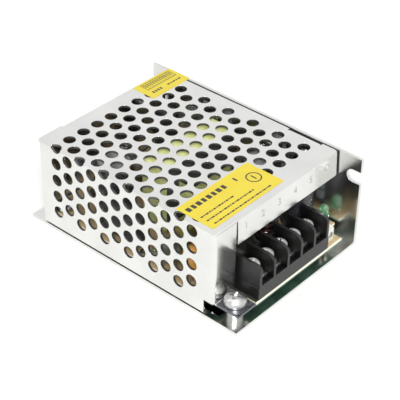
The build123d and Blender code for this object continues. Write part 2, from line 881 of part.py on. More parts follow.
def make_core_tape():
    """Tape wound once round the outside of the joined cores."""
    x, y = core_centre_x, core_centre_y
    half_x = core_width / 2
    half_y = core_thickness / 2 - tape_margin
    t = tape_thickness
    outer = block(x - half_x - t, x + half_x + t, y - half_y, y + half_y, core_foot - t, core_top + t)
    outer = fillet(outer.edges().filter_by(Axis.Y), t * tape_corner_share)
    return outer - block(x - half_x, x + half_x, y - half_y - past, y + half_y + past, core_foot, core_top)


# Capacitors


def capacitor_can(x, y, radius, height, lead_pitch):
    """Aluminium can with a rolled bead near its foot and a recessed top."""
    outline = Polyline(
        (0, 0), (radius - can_shoulder / 2, 0), (radius, can_shoulder / 2),
        (radius, can_bead_height - can_bead_depth), (radius - can_bead_depth, can_bead_height),
        (radius, can_bead_height + can_bead_depth), (radius, height - can_shoulder),
        (radius - can_shoulder / 3, height - can_shoulder / 3), (radius - can_shoulder, height),
        (radius - can_rim, height), (radius - can_rim, height - can_recess), (0, height - can_recess),
        (0, 0),
    )
    can = revolve(Plane.XZ * make_face(outline), Axis.Z)
    can = Pos(x, y, pcb_top) * can
    return merge([can] + leads(row_of_leads(x, y, lead_pitch, 2), pcb_top + can_shoulder))


def output_places():
    """Place of each output capacitor; the front one stands further towards the wall."""
    x = pcb_left + output_x
    y = pcb_front + output_first_y
    return [(x + output_front_shift, y), (x, y + output_spacing)]


def make_x_capacitor():
    """Boxed film capacitor across the line."""
    x = pcb_left + x_capacitor_x
    y = pcb_front + x_capacitor_y
    half_x = x_capacitor_length / 2
    half_y = x_capacitor_width / 2
    body = block(x - half_x, x + half_x, y - half_y, y + half_y, pcb_top, pcb_top + x_capacitor_height)
    body = fillet(body.edges().filter_by(Axis.Z), box_edge_round)
    return merge([body] + leads(row_of_leads(x, y, x_capacitor_lead_pitch, 2), pcb_top + lead_embed))


def disc_part(x, y, radius, thickness, lift, along_y):
    """Dipped disc standing on two leads."""
    z = pcb_top + lift + radius
    disc = Cylinder(radius, thickness)
    disc = fillet(disc.edges(), thickness * disc_edge_share)
    turn = Rot(0, 90, 0) if along_y else Rot(90, 0, 0)
    disc = Pos(x, y, z) * turn * disc
    return merge([disc] + leads(row_of_leads(x, y, disc_lead_pitch, 2, along_y), z))


# Input parts


def make_fuse():
    """Box fuse."""
    x = pcb_left + fuse_x
    y = pcb_front + fuse_y
    half_x = fuse_length / 2
    half_y = fuse_width / 2
    body = block(x - half_x, x + half_x, y - half_y, y + half_y, pcb_top, pcb_top + fuse_height)
    body = fillet(body.edges().filter_by(Axis.Z), box_edge_round)
    return merge([body] + leads(row_of_leads(x, y, fuse_lead_pitch, 2), pcb_top + lead_embed))


def choke_legs():
    """X of the two legs of the filter choke."""
    x = pcb_left + choke_x
    return [x - choke_leg_spacing / 2, x + choke_leg_spacing / 2]


def choke_lead_places():
    """Places of the filter choke's four leads."""
    places = []
    for x in choke_legs():
        places += row_of_leads(x, pcb_front + choke_y, choke_lead_pitch, 2, True)
    return places


def make_choke_core():
    """Ferrite frame with two upright legs."""
    y = pcb_front + choke_y
    half = choke_leg / 2
    left, right = choke_legs()
    low = pcb_top + choke_foot
    top = pcb_top + choke_height
    core = block(left - half, right + half, y - half, y + half, low, top)
    front = y - half - past
    rear = y + half + past
    return core - block(left + half, right - half, front, rear, low + choke_leg, top - choke_leg)


def make_choke_windings():
    """Two wound spools on the legs, each with its leads."""
    y = pcb_front + choke_y
    middle = pcb_top + (choke_foot + choke_height) / 2
    low = middle - choke_winding_height / 2
    high = middle + choke_winding_height / 2
    half = choke_leg / 2 + choke_fit
    spools = []
    for x in choke_legs():
        spool = post(x, y, low, high, choke_winding_radius)
        spool -= block(x - half, x + half, y - half, y + half, low - past, high + past)
        places = row_of_leads(x, y, choke_lead_pitch, 2, True)
        spools.append(merge([spool] + leads(places, low + lead_embed)))
    return Compound(children=spools)


def rectifier_lead_places():
    """Places of the bridge rectifier's leads."""
    x = pcb_left + rectifier_x
    y = pcb_front + rectifier_y
    return row_of_leads(x, y, rectifier_pin_pitch, rectifier_pins, True)


def make_bridge_rectifier():
    """Flat upright body with one cut corner and four leads."""
    x = pcb_left + rectifier_x
    y = pcb_front + rectifier_y
    half_x = rectifier_thickness / 2
    half_y = rectifier_length / 2
    low = pcb_top + rectifier_lift
    body = block(x - half_x, x + half_x, y - half_y, y + half_y, low, low + rectifier_height)
    corner = body.edges().filter_by(Axis.X).group_by(Axis.Z)[-1].sort_by(Axis.Y)[0]
    body = chamfer(corner, rectifier_chamfer)
    return merge([body] + leads(rectifier_lead_places(), low + lead_embed))


# Power packages on the wall


def make_power_package(y):
    """Tab package with three straight leads."""
    half = package_width / 2
    back = package_back
    body_top = package_foot + package_body_height
    package = block(back - package_depth, back, y - half, y + half, package_foot, body_top)
    tab = block(back - package_tab, back, y - half, y + half, package_foot, package_foot + package_height)
    package += tab
    package -= rod_x(back - package_depth, back + past, y, package_hole_z, package_hole_radius)
    half_w = package_pin_width / 2
    x0 = package_pin_x - package_pin_thickness / 2
    x1 = package_pin_x + package_pin_thickness / 2
    for step in (-1, 0, 1):
        pin_y = y + step * package_pin_pitch
        package += block(x0, x1, pin_y - half_w, pin_y + half_w, lead_tip, package_foot + lead_embed)
    return package


def make_thermal_pads():
    """Insulating pad behind each power package."""
    pads = []
    for y in package_places:
        half = package_width / 2 + pad_margin
        low = package_foot - pad_margin
        high = package_foot + package_height + pad_margin
        pad = block(package_back, wall_inside, y - half, y + half, low, high)
        hole = rod_x(package_back - past, wall_inside + past, y, package_hole_z, pad_hole_radius)
        pads.append(pad - hole)
    return Compound(children=pads)


def make_package_screws():
    """Screws that clamp the power packages to the wall."""
    face = package_back - package_tab
    length = case_right - face
    screws = []
    for y in package_places:
        screw = machine_screw(length, package_screw_head, package_screw_height)
        screws.append(Pos(face, y, package_hole_z) * Rot(0, -90, 0) * screw)
    return Compound(children=screws)


# Output and control parts


def make_inductor_core():
    """Ferrite drum of the output inductor."""
    x = pcb_left + inductor_x
    y = pcb_front + inductor_y
    top = pcb_top + inductor_height
    core = post(x, y, pcb_top, top, inductor_post)
    core += post(x, y, pcb_top, pcb_top + inductor_flange, inductor_radius)
    core += post(x, y, top - inductor_flange, top, inductor_radius)
    return merge([core] + leads(row_of_leads(x, y, inductor_lead_pitch, 2), pcb_top + lead_embed))


def make_inductor_winding():
    """Winding between the drum's flanges."""
    x = pcb_left + inductor_x
    y = pcb_front + inductor_y
    low = pcb_top + inductor_flange
    high = pcb_top + inductor_height - inductor_flange
    turns = post(x, y, low, high, inductor_winding_radius)
    return turns - post(x, y, low - past, high + past, inductor_post)


def chip_lead_places(x, y, pins):
    """Places of a dual in-line package's leads."""
    places = []
    for side in (-1, 1):
        row_x = pcb_left + x + side * chip_row_pitch / 2
        places += row_of_leads(row_x, pcb_front + y, chip_pin_pitch, pins, True)
    return places


def make_chip(x, y, length, pins):
    """Dual in-line package."""
    centre_x = pcb_left + x
    centre_y = pcb_front + y
    low = pcb_top + chip_lift
    half_x = chip_width / 2
    half_y = length / 2
    body_top = low + chip_height
    body = block(centre_x - half_x, centre_x + half_x, centre_y - half_y, centre_y + half_y, low, body_top)
    notch_y = centre_y + half_y
    body -= post(centre_x, notch_y, body_top - chip_notch_depth, body_top + past, chip_notch_radius)
    shoulder = low + chip_height / 2
    half = chip_pin_width / 2
    for px, py in chip_lead_places(x, y, pins):
        x0, x1 = sorted((px + math.copysign(half, px - centre_x), centre_x))
        body += block(x0, x1, py - half, py + half, shoulder - half, shoulder)
        body += block(px - half, px + half, py - half, py + half, lead_tip, shoulder)
    return body


def axial_part(x, y, radius, waist, length, span, along_y):
    """Axial part lying on the board with its two leads bent down."""
    z = pcb_top + axial_lift + radius
    body = Rot(0, 90, 0) * Cylinder(waist, length)
    cap_length = length * axial_cap_share
    for side in (-1, 1):
        cap = Cylinder(radius, cap_length)
        cap = fillet(cap.edges(), min(radius, cap_length) * disc_edge_share)
        body += Pos(side * (length - cap_length) / 2, 0, 0) * Rot(0, 90, 0) * cap
        reach = span / 2
        body += rod_x(*sorted((0, side * reach)), 0, 0, axial_lead_radius)
        body += Pos(side * reach, 0, 0) * Sphere(axial_lead_radius)
        body += post(side * reach, 0, lead_tip - z, 0, axial_lead_radius)
    turn = Rot(0, 0, 90) if along_y else Rot(0, 0, 0)
    return Pos(pcb_left + x, pcb_front + y, z) * turn * body


def make_resistors():
    """Leaded resistors, one solid each."""
    return Compound(children=[
        axial_part(x, y, resistor_radius, resistor_waist, resistor_length, resistor_span, False)
        for x, y in resistor_places
    ])


def make_diodes():
    """Leaded diodes, one solid each."""
    return Compound(children=[
        axial_part(x, y, diode_radius, diode_radius, diode_length, diode_span, along_y)
        for x, y, along_y in diode_places
    ])


# Lamp and trimmer


def make_lamp():
    """Round indicator lamp on two short leads, close to the wall."""
    y = pcb_front + lamp_y
    low = pcb_top + lamp_lift
    straight = lamp_height - lamp_radius
    lamp = post(lamp_x, y, low, low + straight, lamp_radius)
    lamp += Pos(lamp_x, y, low + straight) * Sphere(lamp_radius)
    lamp += post(lamp_x, y, low, low + lamp_collar_height, lamp_collar_radius)
    places = row_of_leads(lamp_x, y, lamp_lead_pitch, 2, True)
    return merge([lamp] + leads(places, low + lamp_collar_height, lamp_lead_radius))


def trimmer_lead_places():
    """Places of the trimmer's leads under its wafer."""
    x = wafer_left + wafer_width / 2
    y = wafer_front + wafer_thickness / 2
    return row_of_leads(x, y, wafer_width / 2, 2)


def make_trimmer_wafer():
    """Resistor wafer that stands on edge behind the adjuster."""
    right = wafer_left + wafer_width
    rear = wafer_front + wafer_thickness
    wafer = block(wafer_left, right, wafer_front, rear, pcb_top, pcb_top + wafer_height)
    wafer = chamfer(wafer.edges().filter_by(Axis.Y).group_by(Axis.Z)[-1], wafer_thickness)
    return merge([wafer] + leads(trimmer_lead_places(), pcb_top + lead_embed))


def make_trimmer_housing():
    """Carrier of the adjuster, in front of the wafer."""
    right = trimmer_left + trimmer_width
    body = block(trimmer_left, right, trimmer_front, wafer_front, pcb_top, pcb_top + trimmer_height)
    bore = rotor_radius + rotor_clearance
    return body - rod_y(rotor_x, trimmer_front - past, wafer_front + past, rotor_z, bore)


def make_trimmer_rotor():
    """Slotted adjuster that turns in the carrier."""
    front = trimmer_front - rotor_proud
    rotor = rod_y(rotor_x, front, front + rotor_length, rotor_z, rotor_radius)
    half = rotor_slot_width / 2
    reach = rotor_radius + past
    slot_rear = front + rotor_slot_depth
    slot = block(rotor_x - half, rotor_x + half, front - past, slot_rear, rotor_z - reach, rotor_z + reach)
    return rotor - slot


# Stickers


def make_main_label():
    """Sticker on the top above the terminals."""
    left = case_left + main_label_side_inset
    front = cover_front + main_label_front_inset
    right = left + main_label_length
    rear = front + main_label_width
    return block(left, right, front, rear, case_height, case_height + sticker_thickness)


def make_rear_sticker():
    """Seal that bridges the cover and the wall's top edge."""
    left = case_right - rear_sticker_length
    rear = cover_rear - rear_sticker_rear_inset
    front = rear - rear_sticker_width
    return block(left, case_right, front, rear, case_height, case_height + sticker_thickness)


def build_parts():
    """Every sub-part by its node name."""
    parts = {}
    parts["chassis"] = make_chassis()
    parts["perforated_cover"] = make_cover()
    parts["cover_standoff"] = standoff(foot_screw_x, foot_screw_y, cover_standoff_height)
    foot_screw = machine_screw(cover_screw_length, foot_head_radius, foot_head_height)
    parts["cover_foot_screw"] = Pos(foot_screw_x, foot_screw_y, tab_top) * foot_screw
    parts["cover_ear_screw"] = make_ear_screw()
    parts["board_standoffs"] = Compound(children=[standoff(x, y, pcb_gap) for x, y in pcb_screw_places])
    parts["board_screws"] = Compound(children=[
        Pos(x, y, pcb_top) * machine_screw(pcb_screw_length) for x, y in pcb_screw_places
    ])
    parts["board_spacer"] = post(*spacer_place, base_top, pcb_bottom, spacer_radius)
    parts["circuit_board"] = make_pcb()
    parts["insulating_sheet"] = make_insulator()
    parts["terminal_block"] = make_terminal_block()
    for number, x in enumerate(way_centres(), start=1):
        parts[f"contact_plate_{number}"] = make_contact_plate(x)
        parts[f"clamp_washer_{number}"] = make_clamp_washer(x)
        parts[f"terminal_screw_{number}"] = make_terminal_screw(x)
    parts["transformer_core_lower"] = make_core_half(False)
    parts["transformer_core_upper"] = make_core_half(True)
    parts["transformer_bobbin"] = make_bobbin()
    parts["transformer_winding"] = make_winding()
    parts["transformer_core_tape"] = make_core_tape()
    parts["bulk_capacitor"] = capacitor_can(
        pcb_left + bulk_x, pcb_front + bulk_y, bulk_radius, bulk_height, bulk_lead_pitch,
    )
    for number, (x, y) in enumerate(output_places(), start=1):
        parts[f"output_capacitor_{number}"] = capacitor_can(
            x, y, output_radius, output_height, output_lead_pitch,
        )
    parts["auxiliary_capacitor"] = capacitor_can(
        pcb_left + auxiliary_x, pcb_front + auxiliary_y,
        auxiliary_radius, auxiliary_height, auxiliary_lead_pitch,
    )
    parts["fuse"] = make_fuse()
    parts["filter_choke_core"] = make_choke_core()
    parts["filter_choke_windings"] = make_choke_windings()
    parts["line_film_capacitor"] = make_x_capacitor()
    parts["varistor"] = disc_part(
        pcb_left + varistor_x, pcb_front + varistor_y,
        varistor_radius, varistor_thickness, varistor_lift, True,
    )
    parts["inrush_thermistor"] = disc_part(
        pcb_left + thermistor_x, pcb_front + thermistor_y,
        thermistor_radius, thermistor_thickness, thermistor_lift, True,
    )
    parts["bridging_disc_capacitor"] = disc_part(
        pcb_left + y_capacitor_x, pcb_front + y_capacitor_y,
        y_capacitor_radius, y_capacitor_thickness, y_capacitor_lift, False,
    )
    parts["bridge_rectifier"] = make_bridge_rectifier()
    parts["switching_transistor"] = make_power_package(package_places[0])
    parts["output_rectifier"] = make_power_package(package_places[1])
    parts["thermal_pads"] = make_thermal_pads()
    parts["package_screws"] = make_package_screws()
    parts["output_inductor_core"] = make_inductor_core()
    parts["output_inductor_winding"] = make_inductor_winding()
    parts["controller_chip"] = make_chip(controller_x, controller_y, controller_length, controller_pins)
    parts["optocoupler"] = make_chip(optocoupler_x, optocoupler_y, optocoupler_length, optocoupler_pins)
    parts["resistors"] = make_resistors()
    parts["diodes"] = make_diodes()
    parts["indicator_lamp"] = make_lamp()
    parts["trimmer_wafer"] = make_trimmer_wafer()
    parts["trimmer_housing"] = make_trimmer_housing()
    parts["trimmer_rotor"] = make_trimmer_rotor()
    parts["main_label"] = make_main_label()
    parts["rear_sticker"] = make_rear_sticker()
    return parts


if __name__ == "__main__":
    os.makedirs("parts", exist_ok=True)
    for node, shape in build_parts().items():
        export_step(shape, f"parts/{node}.step")
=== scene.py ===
"""Studio picture of a small switching power supply in a punched sheet metal case.

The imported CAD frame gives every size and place. This script dresses its nodes in
finishes, and builds finer pieces for what repeats or is worked in detail: the punched
cover, the screws, the windings, the solder joints, the capacitors and the print.
Lengths are written in millimetres and turned into metres where a mesh is closed.
"""

import logging
import math
from dataclasses import dataclass
from enum import Enum
from typing import Any, Iterable, NamedTuple, Optional, Sequence

import bmesh
import bpy
from mathutils import Matrix, Vector

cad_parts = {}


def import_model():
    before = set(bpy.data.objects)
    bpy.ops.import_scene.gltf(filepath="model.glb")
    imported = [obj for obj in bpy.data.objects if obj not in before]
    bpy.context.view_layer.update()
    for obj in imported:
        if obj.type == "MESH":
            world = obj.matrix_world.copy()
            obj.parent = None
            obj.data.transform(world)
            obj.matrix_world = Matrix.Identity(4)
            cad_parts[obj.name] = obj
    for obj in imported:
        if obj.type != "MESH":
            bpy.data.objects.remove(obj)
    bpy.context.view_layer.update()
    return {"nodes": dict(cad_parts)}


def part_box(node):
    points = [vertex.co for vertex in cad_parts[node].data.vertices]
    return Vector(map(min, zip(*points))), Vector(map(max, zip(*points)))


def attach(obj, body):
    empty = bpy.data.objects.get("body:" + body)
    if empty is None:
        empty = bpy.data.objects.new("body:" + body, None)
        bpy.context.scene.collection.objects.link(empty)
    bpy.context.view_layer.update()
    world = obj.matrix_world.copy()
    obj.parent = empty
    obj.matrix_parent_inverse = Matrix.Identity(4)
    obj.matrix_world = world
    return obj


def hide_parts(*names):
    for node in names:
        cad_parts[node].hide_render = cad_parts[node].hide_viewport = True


MM = 0.001
# The drawing's finest step in mm: boxes read from the frame are set on it.
DRAWN_STEP = 0.025
DIGITS = 4
WAYS = range(1, 6)
# The two lacquered resistors in front of the transformer and the two behind it.
RESISTORS = ((2.3, -18.1), (2.3, -14.7), (-4.1, 28.2), (-4.1, 31.5))
# How far along the case a face's normal leans where it is the wall of a punched hole.
WALL_LEAN = (0.05, 0.999)
LOG = logging.getLogger("supply")

Outline = list[Vector]
Rgba = tuple[float, float, float, float]


# Node helpers

def linear(code: str) -> Rgba:
    """Turns an sRGB hex colour into the linear colour that shaders take.

    Args:
        code: the colour, such as "#e7e7e5".

    Returns:
        Linear red, green and blue, and an alpha of 1.
    """
    parts = [int(code[i:i + 2], 16) / 255 for i in (1, 3, 5)]
    red, green, blue = (
        c / 12.92 if c <= 0.04045 else ((c + 0.055) / 1.055) ** 2.4 for c in parts
    )
    return (red, green, blue, 1.0)


def add(
    tree: bpy.types.NodeTree,
    kind: str,
    settings: Optional[dict[str, Any]] = None,
    inputs: Optional[dict[Any, Any]] = None,
) -> bpy.types.Node:
    """Adds one node to a tree with its settings and its inputs.

    Args:
        tree: the shader or geometry tree.
        kind: the node's type name.
        settings: attributes of the node.
        inputs: for each input name or number, a constant or the socket that feeds it.

    Returns:
        The new node.
    """
    node = tree.nodes.new(kind)
    for name, value in (settings or {}).items():
        setattr(node, name, value)
    for key, value in (inputs or {}).items():
        if isinstance(value, bpy.types.NodeSocket):
            tree.links.new(value, node.inputs[key])
        else:
            node.inputs[key].default_value = value
    return node


def in_mm(
    tree: bpy.types.NodeTree,
    stretch: Sequence[float] = (1.0, 1.0, 1.0),
    shift: Sequence[float] = (0.0, 0.0, 0.0),
    turn: Sequence[float] = (0.0, 0.0, 0.0),
) -> bpy.types.NodeSocket:
    """Gives the object coordinates counted in millimetres.

    Args:
        tree: the material's tree.
        stretch: a factor along each axis.
        shift: millimetres added after the turn.
        turn: rotation about each axis in radians.

    Returns:
        The vector socket.
    """
    source = add(tree, "ShaderNodeTexCoord")
    mapping = add(tree, "ShaderNodeMapping", inputs={
        "Vector": source.outputs["Object"],
        "Scale": [s / MM for s in stretch],
        "Location": shift,
        "Rotation": turn,
    })
    return mapping.outputs["Vector"]


def place_in_mm(tree: bpy.types.NodeTree) -> Sequence[bpy.types.NodeSocket]:
    """Gives x, y and z in millimetres, each as a socket of its own."""
    return add(tree, "ShaderNodeSeparateXYZ", inputs={0: in_mm(tree)}).outputs


def noise(
    tree: bpy.types.NodeTree,
    vector: bpy.types.NodeSocket,
    size: float,
    detail: float = 3.0,
    roughness: float = 0.5,
) -> bpy.types.NodeSocket:
    """Gives smooth noise whose features are about one size across, in mm."""
    node = add(tree, "ShaderNodeTexNoise", inputs={
        "Vector": vector, "Scale": 1 / size, "Detail": detail, "Roughness": roughness,
    })
    return node.outputs[0]


def between(
    tree: bpy.types.NodeTree,
    value: bpy.types.NodeSocket,
    low: float,
    high: float,
    start: float = 0.3,
    end: float = 0.7,
) -> bpy.types.NodeSocket:
    """Maps a value that runs from start to end onto low to high."""
    node = add(tree, "ShaderNodeMapRange", inputs={
        "Value": value, "From Min": start, "From Max": end,
        "To Min": low, "To Max": high,
    })
    return node.outputs[0]


def mixed(
    tree: bpy.types.NodeTree,
    factor: Any,
    first: Any,
    second: Any,
) -> bpy.types.NodeSocket:
    """Mixes two colours by a factor and gives the colour socket."""
    node = add(tree, "ShaderNodeMix", {"data_type": "RGBA"},
               {0: factor, 6: first, 7: second})
    return node.outputs[2]


def compare(
    tree: bpy.types.NodeTree,
    operation: str,
    first: Any,
    second: Any,
) -> bpy.types.NodeSocket:
    """Works out one Math node of two values and gives its result."""
    node = add(tree, "ShaderNodeMath", {"operation": operation}, {0: first, 1: second})
    return node.outputs[0]


def relief(
    tree: bpy.types.NodeTree,
    height: bpy.types.NodeSocket,
    depth: float,
    edge: float,
    strength: float = 1.0,
) -> bpy.types.NodeSocket:
    """Gives a normal with small relief on it and softened edges.

    Args:
        tree: the material's tree.
        height: the relief, from 0 to 1.
        depth: how many mm a height of 1 stands for.
        edge: radius in mm that light sees on the body's sharp edges.
        strength: share of the relief that is kept.

    Returns:
        The normal socket.
    """
    soft = add(tree, "ShaderNodeBevel", {"samples": 4}, {"Radius": edge * MM})
    bump = add(tree, "ShaderNodeBump", inputs={
        "Strength": strength, "Distance": depth * MM,
        "Height": height, "Normal": soft.outputs[0],
    })
    return bump.outputs[0]


def principled(tree: bpy.types.NodeTree, **inputs: Any) -> bpy.types.NodeSocket:
    """Adds the surface shader; an underscore in a name stands for a space."""
    named = {name.replace("_", " "): value for name, value in inputs.items()}
    return add(tree, "ShaderNodeBsdfPrincipled", inputs=named).outputs[0]


# Finishes

@dataclass(frozen=True)
class Finish:
    """What every finish has: the name of its material and a way to build it."""

    name: str

    def surface(self, tree: bpy.types.NodeTree) -> bpy.types.NodeSocket:
        """Builds the surface and gives its shader socket."""
        raise NotImplementedError

    def material(self) -> bpy.types.Material:
        """Gives the finish's material, built when it is first asked for."""
        made = bpy.data.materials.get(self.name)
        if made is None:
            made = bpy.data.materials.new(self.name)
            made.use_nodes = True
            made.node_tree.nodes.clear()
            surface = self.surface(made.node_tree)
            add(made.node_tree, "ShaderNodeOutputMaterial", inputs={"Surface": surface})
        return made


@dataclass(frozen=True)
class SheetMetal(Finish):
    """Rolled and zinc plated steel sheet: soft clouded mirror with a fine rolled grain.

    The bounds ahead and below, in mm, mark the foot tab: a painted dark reflection.
    """

    colour: str
    dull: str
    roughness: float
    grain: float = 0.004
    cloud: float = 11.0
    toned_ahead: float = -99.0
    toned_below: float = 7.3
    # Colour of the painted dark reflection on the foot tab.
    tone: str = "#6f7076"

    def surface(self, tree: bpy.types.NodeTree) -> bpy.types.NodeSocket:
        """Clouds in the zinc, a rolled grain along Y and soft folded edges."""
        clouds = noise(tree, in_mm(tree), size=self.cloud, detail=4.0)
        place = place_in_mm(tree)
        # Painted dark reflection: the foot tab takes the darker tone colour.
        dark_reflection = compare(tree, "MULTIPLY",
                        compare(tree, "LESS_THAN", place[1], self.toned_ahead),
                        compare(tree, "LESS_THAN", place[2], self.toned_below))
        zinc = mixed(tree, between(tree, clouds, 0.0, 1.0),
                     linear(self.dull), linear(self.colour))
        rolled = noise(tree, in_mm(tree, stretch=(1.0, 0.08, 1.0)), size=0.25, detail=2.0)
        pores = noise(tree, in_mm(tree), size=0.3, detail=2.0)
        fine = compare(tree, "MULTIPLY_ADD", rolled, 0.5)
        tree.links.new(pores, fine.node.inputs[2])
        return principled(
            tree,
            Base_Color=mixed(tree, dark_reflection, zinc, linear(self.tone)),
            Metallic=1.0,
            Roughness=between(tree, fine, self.roughness - 0.05, self.roughness + 0.05,
                              0.5, 1.0),
            Normal=relief(tree, fine, depth=self.grain, edge=0.12),
        )


@dataclass(frozen=True)
class PlatedSteel(Finish):
    """Bright plated steel as on screws: near mirror, with shallow waves from the dies.

    bare is the share of the surface that isn't clouded by a thin dull film.
    """

    colour: str = "#d8d9d6"
    roughness: float = 0.2
    wave: float = 0.02
    bare: float = 1.0

    def surface(self, tree: bpy.types.NodeTree) -> bpy.types.NodeSocket:
        """Shallow waves about a millimetre across, and duller spots."""
        waves = noise(tree, in_mm(tree), size=1.3, detail=2.0)
        spots = noise(tree, in_mm(tree), size=0.5, detail=3.0)
        return principled(
            tree,
            Base_Color=mixed(tree, between(tree, spots, 0.0, 1.0),
                             linear("#a9aaa8"), linear(self.colour)),
            Metallic=self.bare,
            Roughness=between(tree, spots, self.roughness + 0.1, self.roughness),
            Normal=relief(tree, waves, depth=self.wave, edge=0.1),
        )


@dataclass(frozen=True)
class Moulding(Finish):
    """A moulded, dipped or cast body: even colour, fine grain, soft edges.

    leads_below is the height in mm under which the body's own bare wires show.
    """

    colour: str
    roughness: float = 0.45
    grain: float = 0.25
    depth: float = 0.006
    coat: float = 0.0
    mottle: float = 0.12
    edge: float = 0.15
    leads_below: float = 0.0
    gloss: float = 0.5
    # Gloss where ambient occlusion finds a recess: painted shade in recesses.
    recess_gloss: float = 0.5

    def surface(self, tree: bpy.types.NodeTree) -> bpy.types.NodeSocket:
        """Fine grain, faint flow marks and, under a height, tinned wire."""
        flow = noise(tree, in_mm(tree), size=3.5, detail=4.0)
        grain = noise(tree, in_mm(tree), size=self.grain, detail=3.0, roughness=0.6)
        base = linear(self.colour)
        worn = tuple(c + (0.35 - c) * self.mottle for c in base[:3]) + (1.0,)
        gloss: Any = self.gloss
        # Painted shade: ambient occlusion lowers the gloss inside recesses.
        if self.recess_gloss != self.gloss:
            recess_shade = add(tree, "ShaderNodeAmbientOcclusion",
                           {"samples": 6, "only_local": True}, {"Distance": 8 * MM})
            gloss = between(tree, recess_shade.outputs["AO"], self.recess_gloss, self.gloss,
                            0.45, 0.9)
        body = principled(
            tree,
            Base_Color=mixed(tree, between(tree, flow, 0.0, 1.0), base, worn),
            Roughness=between(tree, grain, self.roughness - 0.06, self.roughness + 0.06),
            Coat_Weight=self.coat,
            Coat_Roughness=0.15,
            Specular_IOR_Level=gloss,
            Normal=relief(tree, grain, depth=self.depth, edge=self.edge),
        )
        if not self.leads_below:
            return body
        bare = principled(
            tree,
            Base_Color=mixed(tree, flow, linear("#b9bab8"), linear("#d4d5d2")),
            Metallic=1.0,
            Roughness=between(tree, grain, 0.28, 0.42),
        )
        above = compare(tree, "GREATER_THAN", place_in_mm(tree)[2], self.leads_below)
        return add(tree, "ShaderNodeMixShader",
                   inputs={0: above, 1: bare, 2: body}).outputs[0]


@dataclass(frozen=True)
class Laminate(Finish):
    """Single sided circuit board: tan above, green resist below, a cream cut edge.

    Painted shade darkens the corner under the foot tab and an area behind the block.
    """

    top: str = "#b09c78"
    mask: str = "#3a5f50"
    copper: str = "#4b7262"
    edge: str = "#d9d4c4"
    # Under this height the cut edge is painted shade in the resist's colour.
    bare_above: float = 5.3
    bevel_ahead: float = -41.6
    # Painted shade in the corner under the foot tab and in an area behind the block.
    field: str = "#26261f"
    field_right: float = -17.6
    field_rear: float = -29.0
    glue_left: float = -14.0
    glue_right: float = 12.0
    glue_rear: float = -17.0

    def surface(self, tree: bpy.types.NodeTree) -> bpy.types.NodeSocket:
        """Pressed paper fibres above and blocky copper areas under the resist."""
        fibres = noise(tree, in_mm(tree, stretch=(1.0, 0.2, 1.0)), size=0.5, detail=4.0)
        areas = add(tree, "ShaderNodeTexVoronoi", {"distance": "CHEBYCHEV"}, {
            "Vector": in_mm(tree), "Scale": 1 / 7.0, "Randomness": 0.8,
        })
        gaps = between(tree, areas.outputs["Distance"], 1.0, 0.0, 0.42, 0.44)
        facing = add(tree, "ShaderNodeNewGeometry").outputs["Normal"]
        upward = add(tree, "ShaderNodeSeparateXYZ", inputs={0: facing}).outputs[2]
        across = place_in_mm(tree)
        below = compare(tree, "LESS_THAN", upward, 0.5)
        # Resist on the underside, and painted shade in resist colour on the lower cut
        # edge.
        under = compare(tree, "MULTIPLY", below,
                        compare(tree, "LESS_THAN", across[2], self.bare_above))
        # Painted shade: the corner under the foot tab and an area behind the block.
        corner = compare(tree, "MULTIPLY",
                         compare(tree, "LESS_THAN", across[0], self.field_right),
                         compare(tree, "LESS_THAN", across[1], self.field_rear))
        band = compare(tree, "MULTIPLY",
                       compare(tree, "GREATER_THAN", across[0], self.glue_left),
                       compare(tree, "LESS_THAN", across[0], self.glue_right))
        block_shade = compare(tree, "MULTIPLY", band,
                       compare(tree, "LESS_THAN", across[1], self.glue_rear))
        corner = compare(tree, "MAXIMUM", corner, block_shade)
        paper = mixed(tree, corner, mixed(tree, between(tree, fibres, 0.0, 1.0),
                      linear(self.top), linear("#9b8763")), linear(self.field))
        cut = compare(tree, "MAXIMUM", below,
                      compare(tree, "LESS_THAN", across[1], self.bevel_ahead))
        paper = mixed(tree, cut, paper, linear(self.edge))
        resist = mixed(tree, gaps, linear(self.mask), linear(self.copper))
        return principled(
            tree,
            Base_Color=mixed(tree, under, paper, resist),
            Roughness=between(tree, under, 0.5, 0.22, 0.0, 1.0),
            Normal=relief(tree, fibres, depth=0.004, edge=0.08),
        )


@dataclass(frozen=True)
class Wrapped(Finish):
    """Polyester film tape wound round a coil: glossy, with the laps showing as lines."""

    colour: str = "#d9dc9c"
    shade: str = "#c2c680"
    lap: float = 1.6

    def surface(self, tree: bpy.types.NodeTree) -> bpy.types.NodeSocket:
        """Laps as fine steps across the winding, and creases in the film."""
        laps = add(tree, "ShaderNodeTexWave", {"wave_type": "BANDS",
                   "bands_direction": "DIAGONAL", "wave_profile": "SAW"}, {
            "Vector": in_mm(tree), "Scale": 0.31 / self.lap, "Distortion": 0.6,
            "Detail": 1.0,
        }).outputs[1]
        creases = noise(tree, in_mm(tree), size=2.2, detail=4.0)
        return principled(
            tree,
            Base_Color=mixed(tree, between(tree, creases, 0.0, 1.0),
                             linear(self.shade), linear(self.colour)),
            Roughness=between(tree, creases, 0.2, 0.35),
            Coat_Weight=0.4,
            Coat_Roughness=0.1,
            Normal=relief(tree, laps, depth=0.05, edge=0.2, strength=0.6),
        )


@dataclass(frozen=True)
class EnamelledWire(Finish):
    """Copper winding wire under clear enamel: warm metal with a glossy skin."""

    colour: str = "#38211a"

    def surface(self, tree: bpy.types.NodeTree) -> bpy.types.NodeSocket:
        """Copper with darker stretches, under a coat."""
        drawn = noise(tree, in_mm(tree), size=1.1, detail=3.0)
        return principled(
            tree,
            Base_Color=mixed(tree, between(tree, drawn, 0.0, 1.0),
                             linear("#22140f"), linear(self.colour)),
            Metallic=0.9,
            Roughness=between(tree, drawn, 0.3, 0.42),
            Coat_Weight=0.6,
            Coat_Roughness=0.12,
            Normal=relief(tree, drawn, depth=0.01, edge=0.05),
        )


